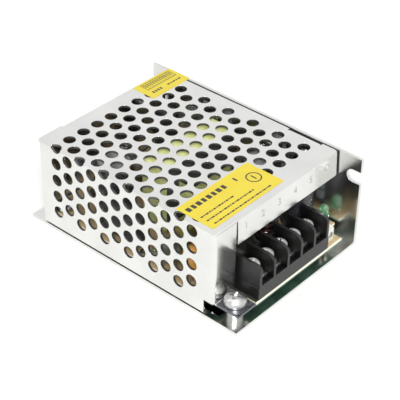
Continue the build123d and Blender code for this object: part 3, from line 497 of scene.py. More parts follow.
@dataclass(frozen=True)
class Paper(Finish):
    """Printed film label: flat bright colour with a faint film texture."""

    colour: str
    shade: str
    roughness: float = 0.42

    def surface(self, tree: bpy.types.NodeTree) -> bpy.types.NodeSocket:
        """A slow change of tone over the label and a fine film grain."""
        tone = noise(tree, in_mm(tree), size=9.0, detail=3.0)
        film = noise(tree, in_mm(tree), size=0.2, detail=2.0)
        return principled(
            tree,
            Base_Color=mixed(tree, between(tree, tone, 0.0, 1.0),
                             linear(self.colour), linear(self.shade)),
            Roughness=between(tree, film, self.roughness - 0.04, self.roughness + 0.06),
            Normal=relief(tree, film, depth=0.002, edge=0.03),
        )


@dataclass(frozen=True)
class ClearPlastic(Finish):
    """Clear or tinted plastic, cast or drawn, with a little of its own light if lit."""

    colour: str
    roughness: float = 0.12
    glow: float = 0.0
    leads_below: float = 0.0
    clear: float = 0.75

    def surface(self, tree: bpy.types.NodeTree) -> bpy.types.NodeSocket:
        """Tinted body with faint ripples, and bare wire under a height."""
        ripple = noise(tree, in_mm(tree), size=1.5, detail=2.0)
        body = principled(
            tree,
            Base_Color=mixed(tree, between(tree, ripple, 0.0, 0.4),
                             linear(self.colour), (1.0, 1.0, 1.0, 1.0)),
            Roughness=self.roughness,
            Transmission_Weight=self.clear,
            Emission_Color=linear(self.colour),
            Emission_Strength=self.glow,
            Normal=relief(tree, ripple, depth=0.01, edge=0.05),
        )
        if not self.leads_below:
            return body
        bare = principled(tree, Base_Color=mixed(tree, ripple, linear("#b9bab8"),
                          linear("#d4d5d2")), Metallic=1.0, Roughness=0.3)
        above = compare(tree, "GREATER_THAN", place_in_mm(tree)[2], self.leads_below)
        return add(tree, "ShaderNodeMixShader",
                   inputs={0: above, 1: bare, 2: body}).outputs[0]


@dataclass(frozen=True)
class Backdrop(Finish):
    """Seamless white studio board."""

    colour: str = "#d0d0cf"

    def surface(self, tree: bpy.types.NodeTree) -> bpy.types.NodeSocket:
        """Nearly even white with the faintest tone in it."""
        tone = noise(tree, in_mm(tree), size=400.0, detail=2.0)
        return principled(
            tree,
            Base_Color=mixed(tree, between(tree, tone, 0.0, 1.0),
                             linear(self.colour), linear("#cececd")),
            Roughness=0.7,
            Specular_IOR_Level=0.2,
        )


# Electro-galvanised steel sheet, folded and left bare: pale, softly mirroring.
# The foot tab ahead of -34 mm carries a painted dark reflection.
COVER_SHEET = SheetMetal("galvanised_cover_sheet", "#e6e6e4", "#dddedb", roughness=0.17,
                         toned_ahead=-34.0)
# Where the punch sheared the sheet: duller and rougher than its faces.
SHEARED = SheetMetal("sheared_sheet_edge", "#7e7e7c", "#646462", roughness=0.5,
                     grain=0.01, cloud=0.6)
# The same sheet for the chassis, less handled: a clearer mirror.
CHASSIS_SHEET = SheetMetal("galvanised_chassis_sheet", "#e4e4e1", "#d8d9d6",
                           roughness=0.22, grain=0.003)
# Nickel plated steel screw stock, cold headed: bright with shallow waves.
PLATED = PlatedSteel("nickel_plated_steel")
# Nickel plated post, turned from bar: bright, with a soft sheen.
POST = PlatedSteel("turned_plated_steel", "#cbccca", roughness=0.27, wave=0.01)
# Nickel plated screw of the foot tab, cold headed: bright and a little cloudy.
HEADED = PlatedSteel("cold_headed_screw", "#dcddda", roughness=0.3, wave=0.025)
# Nickel plated clamp screws: bright, knocked about by the driver.
CLAMP = PlatedSteel("driven_clamp_screw", "#f4f4f1", roughness=0.22, wave=0.05,
                    bare=0.5)
# Tinned brass strip, stamped and dipped: bright, slightly soft.
TINNED = PlatedSteel("tinned_brass_strip", "#e3e2dc", roughness=0.26, wave=0.015)
# Solder, frozen from liquid: bright grey with a slightly grainy skin.
SOLDER = PlatedSteel("soft_solder", "#c8c9c8", roughness=0.28, wave=0.03)
# Rolled aluminium can, as drawn: pale, brushed by the die.
CAN = PlatedSteel("drawn_aluminium_can", "#dcdddc", roughness=0.3, wave=0.01)
# Nylon, moulded and left as moulded: milky and dull.
NYLON = Moulding("natural_nylon", "#dfdccf", roughness=0.5)
# Phenolic terminal moulding: black, fine matt texture from the die.
# Its recesses lose their gloss: painted shade inside the compartments.
BLOCK = Moulding("black_terminal_moulding", "#060606", roughness=0.44, grain=0.3,
                 depth=0.006, mottle=0.006, edge=0.2, gloss=0.62, recess_gloss=0.1)
# Manganese zinc ferrite, pressed and fired: dark grey and slightly sandy.
FERRITE = Moulding("fired_ferrite", "#343536", roughness=0.62, grain=0.2, depth=0.02,
                   edge=0.2)
# Phenolic coil former, moulded: black brown.
FORMER = Moulding("phenolic_former", "#2a2622", roughness=0.5, leads_below=6.3)
# Dipped disc parts: a thick glossy skin over a pressed disc.
ORANGE = Moulding("orange_dipped_coating", "#c08a30", roughness=0.3, grain=0.8,
                  depth=0.05, coat=0.5, mottle=0.1, edge=0.5, leads_below=9.1)
GREEN = Moulding("green_dipped_coating", "#4f5240", roughness=0.32, grain=0.8,
                 depth=0.05, coat=0.4, mottle=0.1, edge=0.5, leads_below=8.8)
BROWN = Moulding("brown_dipped_coating", "#75603f", roughness=0.3, grain=0.8,
                 depth=0.05, coat=0.5, mottle=0.1, edge=0.5, leads_below=8.6)
# Film capacitor box: moulded yellow case filled with resin.
BOX = Moulding("yellow_capacitor_case", "#857a34", roughness=0.4, leads_below=6.0)
# Fuse in its box: moulded black case.
FUSE = Moulding("black_fuse_case", "#232220", roughness=0.4, leads_below=6.0)
# Transfer moulded epoxy of packages and chips: black grey, matt.
EPOXY = Moulding("moulded_epoxy", "#222324", roughness=0.5, grain=0.2, depth=0.01,
                 leads_below=10.35)
BRIDGE = Moulding("bridge_epoxy", "#222324", roughness=0.5, grain=0.2, depth=0.01,
                  leads_below=7.95)
CHIP = Moulding("chip_epoxy", "#26272a", roughness=0.45, grain=0.15, depth=0.008,
                leads_below=6.65)
# Filled silicone pad, calendered: soft grey.
PAD = Moulding("silicone_pad", "#8d9096", roughness=0.75, grain=0.3, depth=0.01)
# Lacquered film resistor and moulded diode bodies: a glossy pale skin, a dark matt one.
LACQUER = Moulding("blue_resistor_lacquer", "#7fa6c4", roughness=0.35, grain=0.6,
                   depth=0.02, coat=0.4, leads_below=6.05)
DIODE = Moulding("black_diode_epoxy", "#26262a", roughness=0.35, leads_below=6.05)
# Trimmer wafer of pressed phenolic paper, and the white moulded trimmer on it.
WAFER = Moulding("tan_wafer", "#a5875a", roughness=0.6, grain=0.4, depth=0.01,
                 leads_below=5.9)
WHITE = Moulding("white_trimmer_moulding", "#c9c8c2", roughness=0.38, grain=0.3,
                 depth=0.006, mottle=0.03)
# Cast epoxy lens of the lamp: tinted green and clear, lit a little from within.
LENS = ClearPlastic("green_lamp_lens", "#2f8a4e", roughness=0.14, glow=0.03,
                    leads_below=8.75)
# Clear polyester film under the board, drawn and left as rolled: glossy and even.
FILM = ClearPlastic("clear_polyester_film", "#eef2f4", roughness=0.04, clear=1.0)
# Heat shrunk polyvinyl sleeve on the capacitors: dark, glossy, a little uneven.
SLEEVE = Moulding("dark_capacitor_sleeve", "#2a2b30", roughness=0.28, grain=0.9,
                  depth=0.02, coat=0.3, mottle=0.04)
STRIPE = Moulding("pale_sleeve_stripe", "#a9b3bd", roughness=0.3, grain=0.9, depth=0.01,
                  coat=0.3, mottle=0.04)
# Polyester film tape, wound over the coil and the core: glossy yellow with fine laps.
TAPE = Wrapped("yellow_polyester_tape")
# Copper winding wire, drawn and enamelled: dark warm metal with a glossy skin.
WIRE = EnamelledWire("enamelled_copper_wire")
# Yellow label film and the dark print on it, laid down flat: even and slightly soft.
YELLOW = Paper("yellow_label_film", "#bdad2c", "#b7a429")
INK = Paper("black_label_print", "#1e1c16", "#2b281e", roughness=0.35)
# Screen printed marks on the sheet: thin grey ink, flat on the zinc.
LIP_INK = Paper("grey_screen_print", "#8b8f92", "#9a9ea1", roughness=0.4)
# Colour bands, rolled onto the resistors' lacquer: flat, one strong tone each.
BANDS = (
    Paper("brown_code_band", "#5c3420", "#6a3d26"),
    Paper("black_code_band", "#1b1b1b", "#262626"),
    Paper("red_code_band", "#b02a22", "#bb352b"),
    Paper("gold_code_band", "#b08b3c", "#bc9746"),
)


# Places in the frame

def drawn(value: float) -> float:
    """Sets a length in mm on the drawing's step."""
    return round(round(value / DRAWN_STEP) * DRAWN_STEP, DIGITS)


class Place(NamedTuple):
    """A point in mm."""

    x: float
    y: float
    z: float


@dataclass(frozen=True)
class Extent:
    """A CAD node's box at rest, in mm."""

    low: Place
    high: Place

    @classmethod
    def of(cls, node: str) -> "Extent":
        """Reads a node's box from the frame, once it is loaded.

        Args:
            node: the CAD node's name.

        Returns:
            The box, with both corners set on the drawing's step.
        """
        low, high = (
            Place(*(drawn(value / MM) for value in corner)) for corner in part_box(node)
        )
        return cls(low, high)

    @property
    def middle(self) -> Place:
        """The middle of the box."""
        return Place(*(round((a + b) / 2, DIGITS) for a, b in zip(self.low, self.high)))

    @property
    def radius(self) -> float:
        """Half of the box's width, which is the radius of a round upright body."""
        return (self.high.x - self.low.x) / 2


def board_level() -> float:
    """Gives the height of the board's upper face in mm, once the frame is loaded."""
    return Extent.of("circuit_board").high.z


# Shape helpers

class Plane(Enum):
    """The plane in which an outline is drawn; the third axis is its depth."""

    XY = "xy"
    XZ = "xz"
    YZ = "yz"

    def at(self, u: float, v: float, w: float) -> Vector:
        """Puts the outline's point (u, v) at depth w."""
        if self is Plane.XY:
            return Vector((u, v, w))
        return Vector((u, w, v)) if self is Plane.XZ else Vector((w, u, v))


class Facing(Enum):
    """The way in which a turned piece's own +Z points, as an Euler turn."""

    UP = (0.0, 0.0, 0.0)
    DOWN = (math.pi, 0.0, 0.0)
    LEFT = (0.0, -math.pi / 2, 0.0)
    RIGHT = (0.0, math.pi / 2, 0.0)


def circle(x: float, y: float, radius: float, count: int) -> Outline:
    """Gives the points of a circle in the plane."""
    return [
        Vector((x + radius * math.cos(a), y + radius * math.sin(a)))
        for a in (math.tau * i / count for i in range(count))
    ]


def box_outline(left: float, low: float, right: float, high: float) -> Outline:
    """Gives the four corners of a rectangle in the plane."""
    return [Vector(p) for p in ((left, low), (right, low), (right, high), (left, high))]


def ring_piece(x: float, y: float, outer: float, stroke: float, first: float,
               second: float) -> Outline:
    """Gives the four corners of a straight piece of a ring between two angles."""
    inner = outer - stroke
    ends = ((outer, first), (outer, second), (inner, second), (inner, first))
    return [Vector((x + r * math.cos(a), y + r * math.sin(a))) for r, a in ends]


def ribbon(points: Sequence[tuple[float, float]], thickness: float, bend: float,
           steps: int = 7) -> Outline:
    """Draws the edge view of a sheet that is folded at each inner point.

    Args:
        points: the sheet's middle line, with sharp corners.
        thickness: the sheet's thickness.
        bend: radius of the middle line in a fold.
        steps: segments in each fold.

    Returns:
        The closed outline of the folded sheet.
    """
    line = [Vector(p) for p in points]
    left: Outline = []
    right: Outline = []

    def put(at: Vector, side: Vector) -> None:
        """Adds the two edge points that face each other across the sheet."""
        left.append(at + side * thickness / 2)
        right.append(at - side * thickness / 2)

    for number, here in enumerate(line):
        last = number == len(line) - 1
        into = (here - line[number - 1]) if number else (line[1] - here)
        into.normalize()
        side = Vector((-into.y, into.x))
        if number == 0 or last:
            put(here, side)
            continue
        away = (line[number + 1] - here).normalized()
        sense = 1 if into.cross(away) > 0 else -1
        angle = into.angle(away)
        centre = here - into * bend * math.tan(angle / 2) + side * bend * sense
        for step in range(steps + 1):
            turn = Matrix.Rotation(sense * step / steps * angle, 2)
            normal = turn @ side
            put(centre - normal * bend * sense, normal)
    return left + right[::-1]


class Blank:
    """A mesh in the making, in millimetres, that ends as one object at the origin."""

    def __init__(self) -> None:
        """Starts an empty mesh."""
        self.mesh = bmesh.new()

    def skin(self, rings: Sequence[Sequence[Vector]], slot: int = 0,
             cap: Optional[int] = None) -> "Blank":
        """Closes a body through rings of the same number of points.

        Args:
            rings: the rings in order.
            slot: the material slot of the sides.
            cap: the material slot of the last ring's face, or the sides' own.

        Returns:
            This blank, so that calls can be chained.
        """
        layers = [[self.mesh.verts.new(p) for p in ring] for ring in rings]
        made = []
        for low, high in zip(layers, layers[1:]):
            for i, here in enumerate(low):
                j = (i + 1) % len(low)
                made.append(self.mesh.faces.new((here, low[j], high[j], high[i])))
        made.append(self.mesh.faces.new(layers[0][::-1]))
        made.append(self.mesh.faces.new(layers[-1]))
        for face in made:
            face.material_index = slot
        made[-1].material_index = slot if cap is None else cap
        return self

    def prism(self, outline: Outline, plane: Plane, start: float, end: float,
              slot: int = 0) -> "Blank":
        """Thickens an outline between two depths."""
        return self.skin([[plane.at(p.x, p.y, w) for p in outline]
                          for w in (start, end)], slot)

    def box(self, low: Sequence[float], high: Sequence[float], slot: int = 0) -> "Blank":
        """Adds a box between two corners."""
        return self.prism(box_outline(low[0], low[1], high[0], high[1]), Plane.XY,
                          low[2], high[2], slot)

    def lathe(self, profile: Sequence[tuple[float, float]], x: float = 0.0,
              y: float = 0.0, count: int = 48, slot: int = 0,
              cap: Optional[int] = None) -> "Blank":
        """Turns a profile of (radius, height) about an upright line.

        Args:
            profile: the points from the bottom to the top.
            x: where the line stands.
            y: where the line stands.
            count: segments round the line.
            slot: the material slot of the sides.
            cap: the material slot of the last ring's face.

        Returns:
            This blank.
        """
        return self.skin([[Plane.XY.at(p.x, p.y, z) for p in circle(x, y, r, count)]
                          for r, z in profile], slot, cap)

    def done(self, name: str, *finishes: Finish) -> bpy.types.Object:
        """Closes the blank as a shown object in metres.

        Args:
            name: the object's name.
            finishes: the finish of each material slot.

        Returns:
            The object.
        """
        bmesh.ops.recalc_face_normals(self.mesh, faces=self.mesh.faces[:])
        bmesh.ops.scale(self.mesh, vec=(MM, MM, MM), verts=self.mesh.verts[:])
        data = bpy.data.meshes.new(name)
        self.mesh.to_mesh(data)
        self.mesh.free()
        made = bpy.data.objects.new(name, data)
        bpy.context.scene.collection.objects.link(made)
        for finish in finishes:
            data.materials.append(finish.material())
        shade(made)
        return made


def shade(made: bpy.types.Object, sharp: float = 32.0) -> None:
    """Smooths a mesh except over edges that turn by more than an angle in degrees."""
    made.data.shade_smooth()
    made.data.set_sharp_from_angle(angle=math.radians(sharp))


def bake(made: bpy.types.Object) -> None:
    """Turns an object's modifiers into its plain mesh and removes them."""
    graph = bpy.context.evaluated_depsgraph_get()
    data = bpy.data.meshes.new_from_object(made.evaluated_get(graph), depsgraph=graph)
    made.modifiers.clear()
    made.data = data
    data.name = made.name


def marks(name: str, places: Iterable[Sequence[float]]) -> bpy.types.Object:
    """Makes a hidden object that is only points, to put copies on."""
    data = bpy.data.meshes.new(name)
    data.from_pydata([[c * MM for c in place] for place in places], [], [])
    made = bpy.data.objects.new(name, data)
    bpy.context.scene.collection.objects.link(made)
    return made


class Repeater:
    """A Geometry Nodes tree with named inputs, used once and baked to a plain mesh."""

    def __init__(self, name: str) -> None:
        """Starts the tree with its geometry going in and out."""
        self.name = name
        self.tree = bpy.data.node_groups.new(name, "GeometryNodeTree")
        self.tree.is_modifier = True
        for way in ("INPUT", "OUTPUT"):
            self.tree.interface.new_socket("Geometry", in_out=way,
                                           socket_type="NodeSocketGeometry")
        self.source = self.tree.nodes.new("NodeGroupInput")
        self.values: dict[str, Any] = {}
        self.helpers: list[bpy.types.Object] = []

    def geometry(self) -> bpy.types.NodeSocket:
        """The mesh that the modifier sits on."""
        return self.source.outputs["Geometry"]

    def ask(self, name: str, kind: str, value: Any) -> bpy.types.NodeSocket:
        """Adds a named input and the value that it takes.

        Args:
            name: the input's name.
            kind: Float, Int, Vector, Object or Material.
            value: the value; lengths are in metres.

        Returns:
            The socket that carries the input in the tree.
        """
        socket = self.tree.interface.new_socket(name, in_out="INPUT",
                                                socket_type="NodeSocket" + kind)
        self.values[socket.identifier] = value
        return self.source.outputs[name]

    def length(self, name: str, value: float) -> bpy.types.NodeSocket:
        """Adds a named input for a length given in mm."""
        return self.ask(name, "Float", value * MM)

    def shape(self, name: str, helper: bpy.types.Object) -> bpy.types.NodeSocket:
        """Adds a helper object as an input, and gives its geometry."""
        self.helpers.append(helper)
        return self.add("GeometryNodeObjectInfo",
                        inputs={"Object": self.ask(name, "Object", helper)}
                        ).outputs["Geometry"]

    def add(self, kind: str, settings: Optional[dict[str, Any]] = None,
            inputs: Optional[dict[Any, Any]] = None) -> bpy.types.Node:
        """Adds a node to this tree."""
        return add(self.tree, kind, settings, inputs)

    def vector(self, x: Any = 0.0, y: Any = 0.0, z: Any = 0.0) -> bpy.types.NodeSocket:
        """Joins three values into a vector."""
        return self.add("ShaderNodeCombineXYZ", inputs={0: x, 1: y, 2: z}).outputs[0]

    def join(self, *shapes: bpy.types.NodeSocket) -> bpy.types.NodeSocket:
        """Joins geometries into one."""
        node = self.add("GeometryNodeJoinGeometry")
        for shape in shapes:
            self.tree.links.new(shape, node.inputs[0])
        return node.outputs[0]

    def cut(self, body: bpy.types.NodeSocket,
            *tools: bpy.types.NodeSocket) -> bpy.types.NodeSocket:
        """Takes tools away from a body."""
        node = self.add("GeometryNodeMeshBoolean",
                        {"operation": "DIFFERENCE", "solver": "EXACT"},
                        {"Mesh 1": body, "Self Intersection": True})
        for tool in tools:
            self.tree.links.new(tool, node.inputs["Mesh 2"])
        return node.outputs[0]

    def fuse(self, *bodies: bpy.types.NodeSocket) -> bpy.types.NodeSocket:
        """Melts bodies into one closed skin."""
        node = self.add("GeometryNodeMeshBoolean",
                        {"operation": "UNION", "solver": "EXACT"},
                        {"Self Intersection": True})
        for body in bodies:
            self.tree.links.new(body, node.inputs["Mesh 2"])
        return node.outputs[0]

    def copies(self, shape: bpy.types.NodeSocket, points: bpy.types.NodeSocket,
               **inputs: Any) -> bpy.types.NodeSocket:
        """Puts a copy of a shape on each point."""
        return self.add("GeometryNodeInstanceOnPoints",
                        inputs={"Points": points, "Instance": shape, **inputs}
                        ).outputs[0]

    def finish(self, made: bpy.types.Object, shape: bpy.types.NodeSocket,
               finish: Optional[Finish], small: Optional[Finish] = None,
               below: float = 0.0) -> bpy.types.Object:
        """Ends the tree, runs it on an object and leaves a plain mesh there.

        Args:
            made: the object that holds the starting mesh.
            shape: the finished geometry in the tree.
            finish: the finish of everything, or None to keep the copies' own.
            small: another finish for the walls of punched holes.
            below: the area in square mm under which a slanting face is such a wall.

        Returns:
            The object, with no modifier left.
        """
        real = self.add("GeometryNodeRealizeInstances", inputs={"Geometry": shape})
        last = real.outputs[0]
        if finish:
            last = self.add("GeometryNodeSetMaterial", inputs={
                "Geometry": last,
                "Material": self.ask("Finish", "Material", finish.material()),
            }).outputs[0]
        if small:
            area = self.add("GeometryNodeInputMeshFaceArea").outputs[0]
            limit = self.ask("Small Face", "Float", below)
            scaled = compare(self.tree, "MULTIPLY", area, 1 / (MM * MM))
            facing = self.add("GeometryNodeInputNormal").outputs[0]
            along = self.add("ShaderNodeSeparateXYZ", inputs={0: facing}).outputs[1]
            slant = compare(self.tree, "ABSOLUTE", along, 0.0)
            wall = compare(self.tree, "MULTIPLY",
                           compare(self.tree, "GREATER_THAN", slant, WALL_LEAN[0]),
                           compare(self.tree, "LESS_THAN", slant, WALL_LEAN[1]))
            chosen = compare(self.tree, "MULTIPLY", wall,
                             compare(self.tree, "LESS_THAN", scaled, limit))
            last = self.add("GeometryNodeSetMaterial", inputs={
                "Geometry": last, "Selection": chosen,
                "Material": self.ask("Small Finish", "Material", small.material()),
            }).outputs[0]
        end = self.tree.nodes.new("NodeGroupOutput")
        self.tree.links.new(last, end.inputs[0])
        modifier = made.modifiers.new(self.name, "NODES")
        modifier.node_group = self.tree
        for identifier, value in self.values.items():
            modifier[identifier] = value
        bake(made)
        for helper in self.helpers:
            bpy.data.objects.remove(helper)
        shade(made)
        return made


# Pieces

@dataclass(frozen=True)
class Case:
    """Where the cover's sheet runs, from its box in the frame and a few own sizes."""

    box: Extent
    base: float = 1.0
    sheet: float = 0.8
    inner_bend: float = 0.25
    foot_gap: float = 0.7
    seam_gap: float = 0.4
    flange_width: float = 9.3
    flange_drop: float = 0.9
    lip_height: float = 8.8
    tab_reach: float = 8.5
    tab_inset: float = 1.0
    tab_width: float = 7.8

    @property
    def left(self) -> float:
        """Outer face of the side."""
        return self.box.low.x

    @property
    def right(self) -> float:
        """Free edge of the top beside the chassis wall."""
        return self.box.high.x

    @property
    def front(self) -> float:
        """Outer face of the lip and the front flange, behind the foot tab."""
        return self.box.low.y + self.tab_reach

    @property
    def rear(self) -> float:
        """Outer face of the rear flap."""
        return self.box.high.y

    @property
    def top(self) -> float:
        """Upper face of the top."""
        return self.box.high.z

    @property
    def foot(self) -> float:
        """Lower edge of the side, over the base."""
        return self.base + self.foot_gap

    @property
    def bend(self) -> float:
        """Radius of the sheet's middle in a fold."""
        return self.inner_bend + self.sheet / 2

    @property
    def reach(self) -> float:
        """How far a fold reaches in from the outer face."""
        return self.inner_bend + self.sheet

    @property
    def flange_end(self) -> float:
        """Free edge of the flanges."""
        return self.left + self.flange_width

    @property
    def lip_left(self) -> float:
        """Left edge of the lip, past the seam at the flange."""
        return self.flange_end + self.seam_gap

    @property
    def flange_top(self) -> float:
        """Upper edge of the flanges, under the top sheet."""
        return self.top - self.flange_drop

    @property
    def lip_foot(self) -> float:
        """Lower edge of the lip."""
        return self.top - self.lip_height

    @property
    def tab_top(self) -> float:
        """Upper face of the foot tab, which lies on its standoff."""
        return Extent.of("cover_standoff").high.z + self.sheet


@dataclass(frozen=True)
class PunchedCover:
    """The folded cover with its staggered holes, cut as on a turret press.

    cut_facet is the area in square mm that every facet of a hole's wall stays under,
    and spring is how far the lip's foot has sprung out.
    """

    case: Case
    hole: float = 2.0
    row_pitch: float = 5.0
    step: float = 3.0
    rows: int = 12
    row_inset: float = 8.6
    top_steps: int = 18
    side_steps: int = 9
    punch_depth: float = 2.1
    segments: int = 28
    spring: float = 0.45
    cut_facet: float = 0.42
    overlap: float = 1.0
    ear_length: float = 12.0
    ear_height: float = 10.0
    ear_relief: float = 0.4
    ear_root: float = 2.05
    bore: float = 1.5
    tongue_half: float = 4.5
    tongue_rise: float = 0.6
    notch_length: float = 3.8
    notch_depth: float = 0.9

    def shell(self) -> bpy.types.Object:
        """Builds the side and the top as one folded sheet."""
        c, mid = self.case, self.case.sheet / 2
        line = [(c.left + mid, c.foot), (c.left + mid, c.top - mid),
                (c.right, c.top - mid)]
        return Blank().prism(ribbon(line, c.sheet, c.bend), Plane.XZ,
                             c.front, c.rear).done("punched_cover", COVER_SHEET)

    def trims(self) -> bpy.types.Object:
        """Builds what the shell loses where its ends are folded."""
        c, far, under, past_seam, past_ear = self.case, 60.0, -1.0, 0.3, 2.0
        near, back = c.front + c.reach, c.rear - c.reach
        blank = Blank()
        for low, high in ((-far, near), (back, far)):
            blank.box((c.lip_left, low, under), (far, high, far))
            blank.box((-far, low, under), (c.lip_left + past_seam, high, c.flange_top))
        ear = self.ear_run(self.ear_relief)
        blank.box((c.right - c.reach, ear[0], c.top - self.ear_height - past_ear),
                  (far, ear[1], far))
        return blank.done("cover_trims")

    def ear_run(self, margin: float = 0.0) -> tuple[float, float]:
        """Gives where the ear starts and ends along the case, about its screw."""
        middle = Extent.of("cover_ear_screw").middle.y
        half = self.ear_length / 2 + margin
        return middle - half, middle + half

    def folds(self) -> bpy.types.Object:
        """Builds the lip, the flanges, the foot tab, the flap, the tongue and the ear."""
        c, mid = self.case, self.case.sheet / 2
        roof, face, back = c.top - mid, c.front + mid, c.rear - mid
        near = c.front + c.reach + self.overlap
        far = c.rear - c.reach - self.overlap
        wall, ear, tread = c.left + mid, c.right - mid, c.tab_top - mid
        tab = c.left + c.tab_inset
        strips = (
            ([(near, roof), (face, roof), (face - self.spring, c.lip_foot)],
             Plane.YZ, (c.lip_left, c.right)),
            ([(wall, near), (wall, face), (c.flange_end, face)],
             Plane.XY, (c.tab_top, c.flange_top)),
            ([(face, c.tab_top + c.reach), (face, tread), (c.box.low.y, tread)],
             Plane.YZ, (tab, tab + c.tab_width)),
            ([(far, roof), (back, roof), (back, c.foot)],
             Plane.YZ, (c.lip_left, c.right)),
            ([(wall, far), (wall, back), (c.flange_end, back)],
             Plane.XY, (c.foot, c.flange_top)),
            ([(c.right - self.ear_root, roof), (ear, roof),
              (ear, c.top - self.ear_height)], Plane.XZ, self.ear_run()),
        )
        blank = Blank()
        for line, plane, (start, end) in strips:
            blank.prism(ribbon(line, c.sheet, c.bend), plane, start, end)
        blank.box((-self.tongue_half, c.rear - c.sheet, c.box.low.z),
                  (self.tongue_half, c.rear, c.foot + self.tongue_rise))
        return blank.done("cover_folds")

    def cuts(self) -> bpy.types.Object:
        """Builds the tools of the single holes and of the notch at the foot."""
        c, deep, past, blank = self.case, 2.5, 1.0, Blank()
        ear = Extent.of("cover_ear_screw").middle
        blank.prism(circle(ear.y, ear.z, self.bore, self.segments), Plane.YZ,
                    c.right - deep, c.right + past)
        foot = Extent.of("cover_foot_screw").middle
        blank.prism(circle(foot.x, foot.y, self.bore, self.segments), Plane.XY,
                    c.tab_top - deep, c.tab_top + past)
        blank.box((c.left - past, c.front - past, -past),
                  (c.left + self.notch_depth, c.front + self.notch_length, c.tab_top))
        return blank.done("cover_cuts")

    def lattice(self, nodes: Repeater, steps: int, label: str) -> bpy.types.NodeSocket:
        """Makes the staggered points on which one face is punched.

        Args:
            nodes: the tree.
            steps: columns of half pitch across the face.
            label: the face's name in the inputs.

        Returns:
            The points, centred on the origin in their own plane.
        """
        across = nodes.ask(label + " Steps", "Int", steps)
        rows = nodes.ask(label + " Rows", "Int", self.rows)
        grid = nodes.add("GeometryNodeMeshGrid", inputs={
            "Size X": nodes.length(label + " Width", (steps - 1) * self.step),
            "Size Y": nodes.length(label + " Run", (self.rows - 1) * self.row_pitch),
            "Vertices X": across, "Vertices Y": rows,
        }).outputs["Mesh"]
        index = nodes.add("GeometryNodeInputIndex").outputs[0]
        column = compare(nodes.tree, "FLOOR", compare(nodes.tree, "DIVIDE", index, rows),
                         0.0)
        row = compare(nodes.tree, "FLOORED_MODULO", index, rows)
        parity = compare(nodes.tree, "FLOORED_MODULO",
                         compare(nodes.tree, "ADD", column, row), 2.0)
        odd = nodes.add("FunctionNodeCompare", {"data_type": "FLOAT",
                        "operation": "LESS_THAN"}, {0: parity, 1: 0.5}).outputs[0]
        return nodes.add("GeometryNodeDeleteGeometry", {"domain": "POINT"},
                         {"Geometry": grid, "Selection": odd}).outputs[0]

    def build(self) -> bpy.types.Object:
        """Builds the whole cover as one closed skin.

        Returns:
            The object that stands for the CAD cover.
        """
        c = self.case
        nodes = Repeater("punching")
        body = nodes.cut(nodes.geometry(), nodes.shape("Trims", self.trims()))
        body = nodes.fuse(body, nodes.shape("Folds", self.folds()))
        tool = nodes.add("GeometryNodeMeshCylinder", inputs={
            "Vertices": nodes.ask("Hole Segments", "Int", self.segments),
            "Radius": nodes.length("Hole Radius", self.hole),
            "Depth": nodes.length("Hole Depth", self.punch_depth),
        }).outputs["Mesh"]
        middle = c.front + self.row_inset + (self.rows - 1) * self.row_pitch / 2
        top = nodes.add("GeometryNodeTransform", inputs={
            "Geometry": self.lattice(nodes, self.top_steps, "Top"),
            "Translation": [v * MM for v in (
                c.left + (self.top_steps - 1) * self.step / 2, middle, c.top)],
        }).outputs[0]
        side = nodes.add("GeometryNodeTransform", inputs={
            "Geometry": self.lattice(nodes, self.side_steps, "Side"),
            "Rotation": Facing.RIGHT.value,
            "Translation": [v * MM for v in (
                c.left, middle, c.top - (self.side_steps - 1) * self.step / 2)],
        }).outputs[0]
        upright = nodes.copies(tool, top)
        lying = nodes.copies(tool, side, Rotation=Facing.RIGHT.value)
        punched = nodes.cut(body, upright, lying, nodes.shape("Cuts", self.cuts()))
        made = nodes.finish(self.shell(), punched, COVER_SHEET, small=SHEARED,
                            below=self.cut_facet)
        made.modifiers.new("weights", "WEIGHTED_NORMAL").keep_sharp = True
        bake(made)
        return made


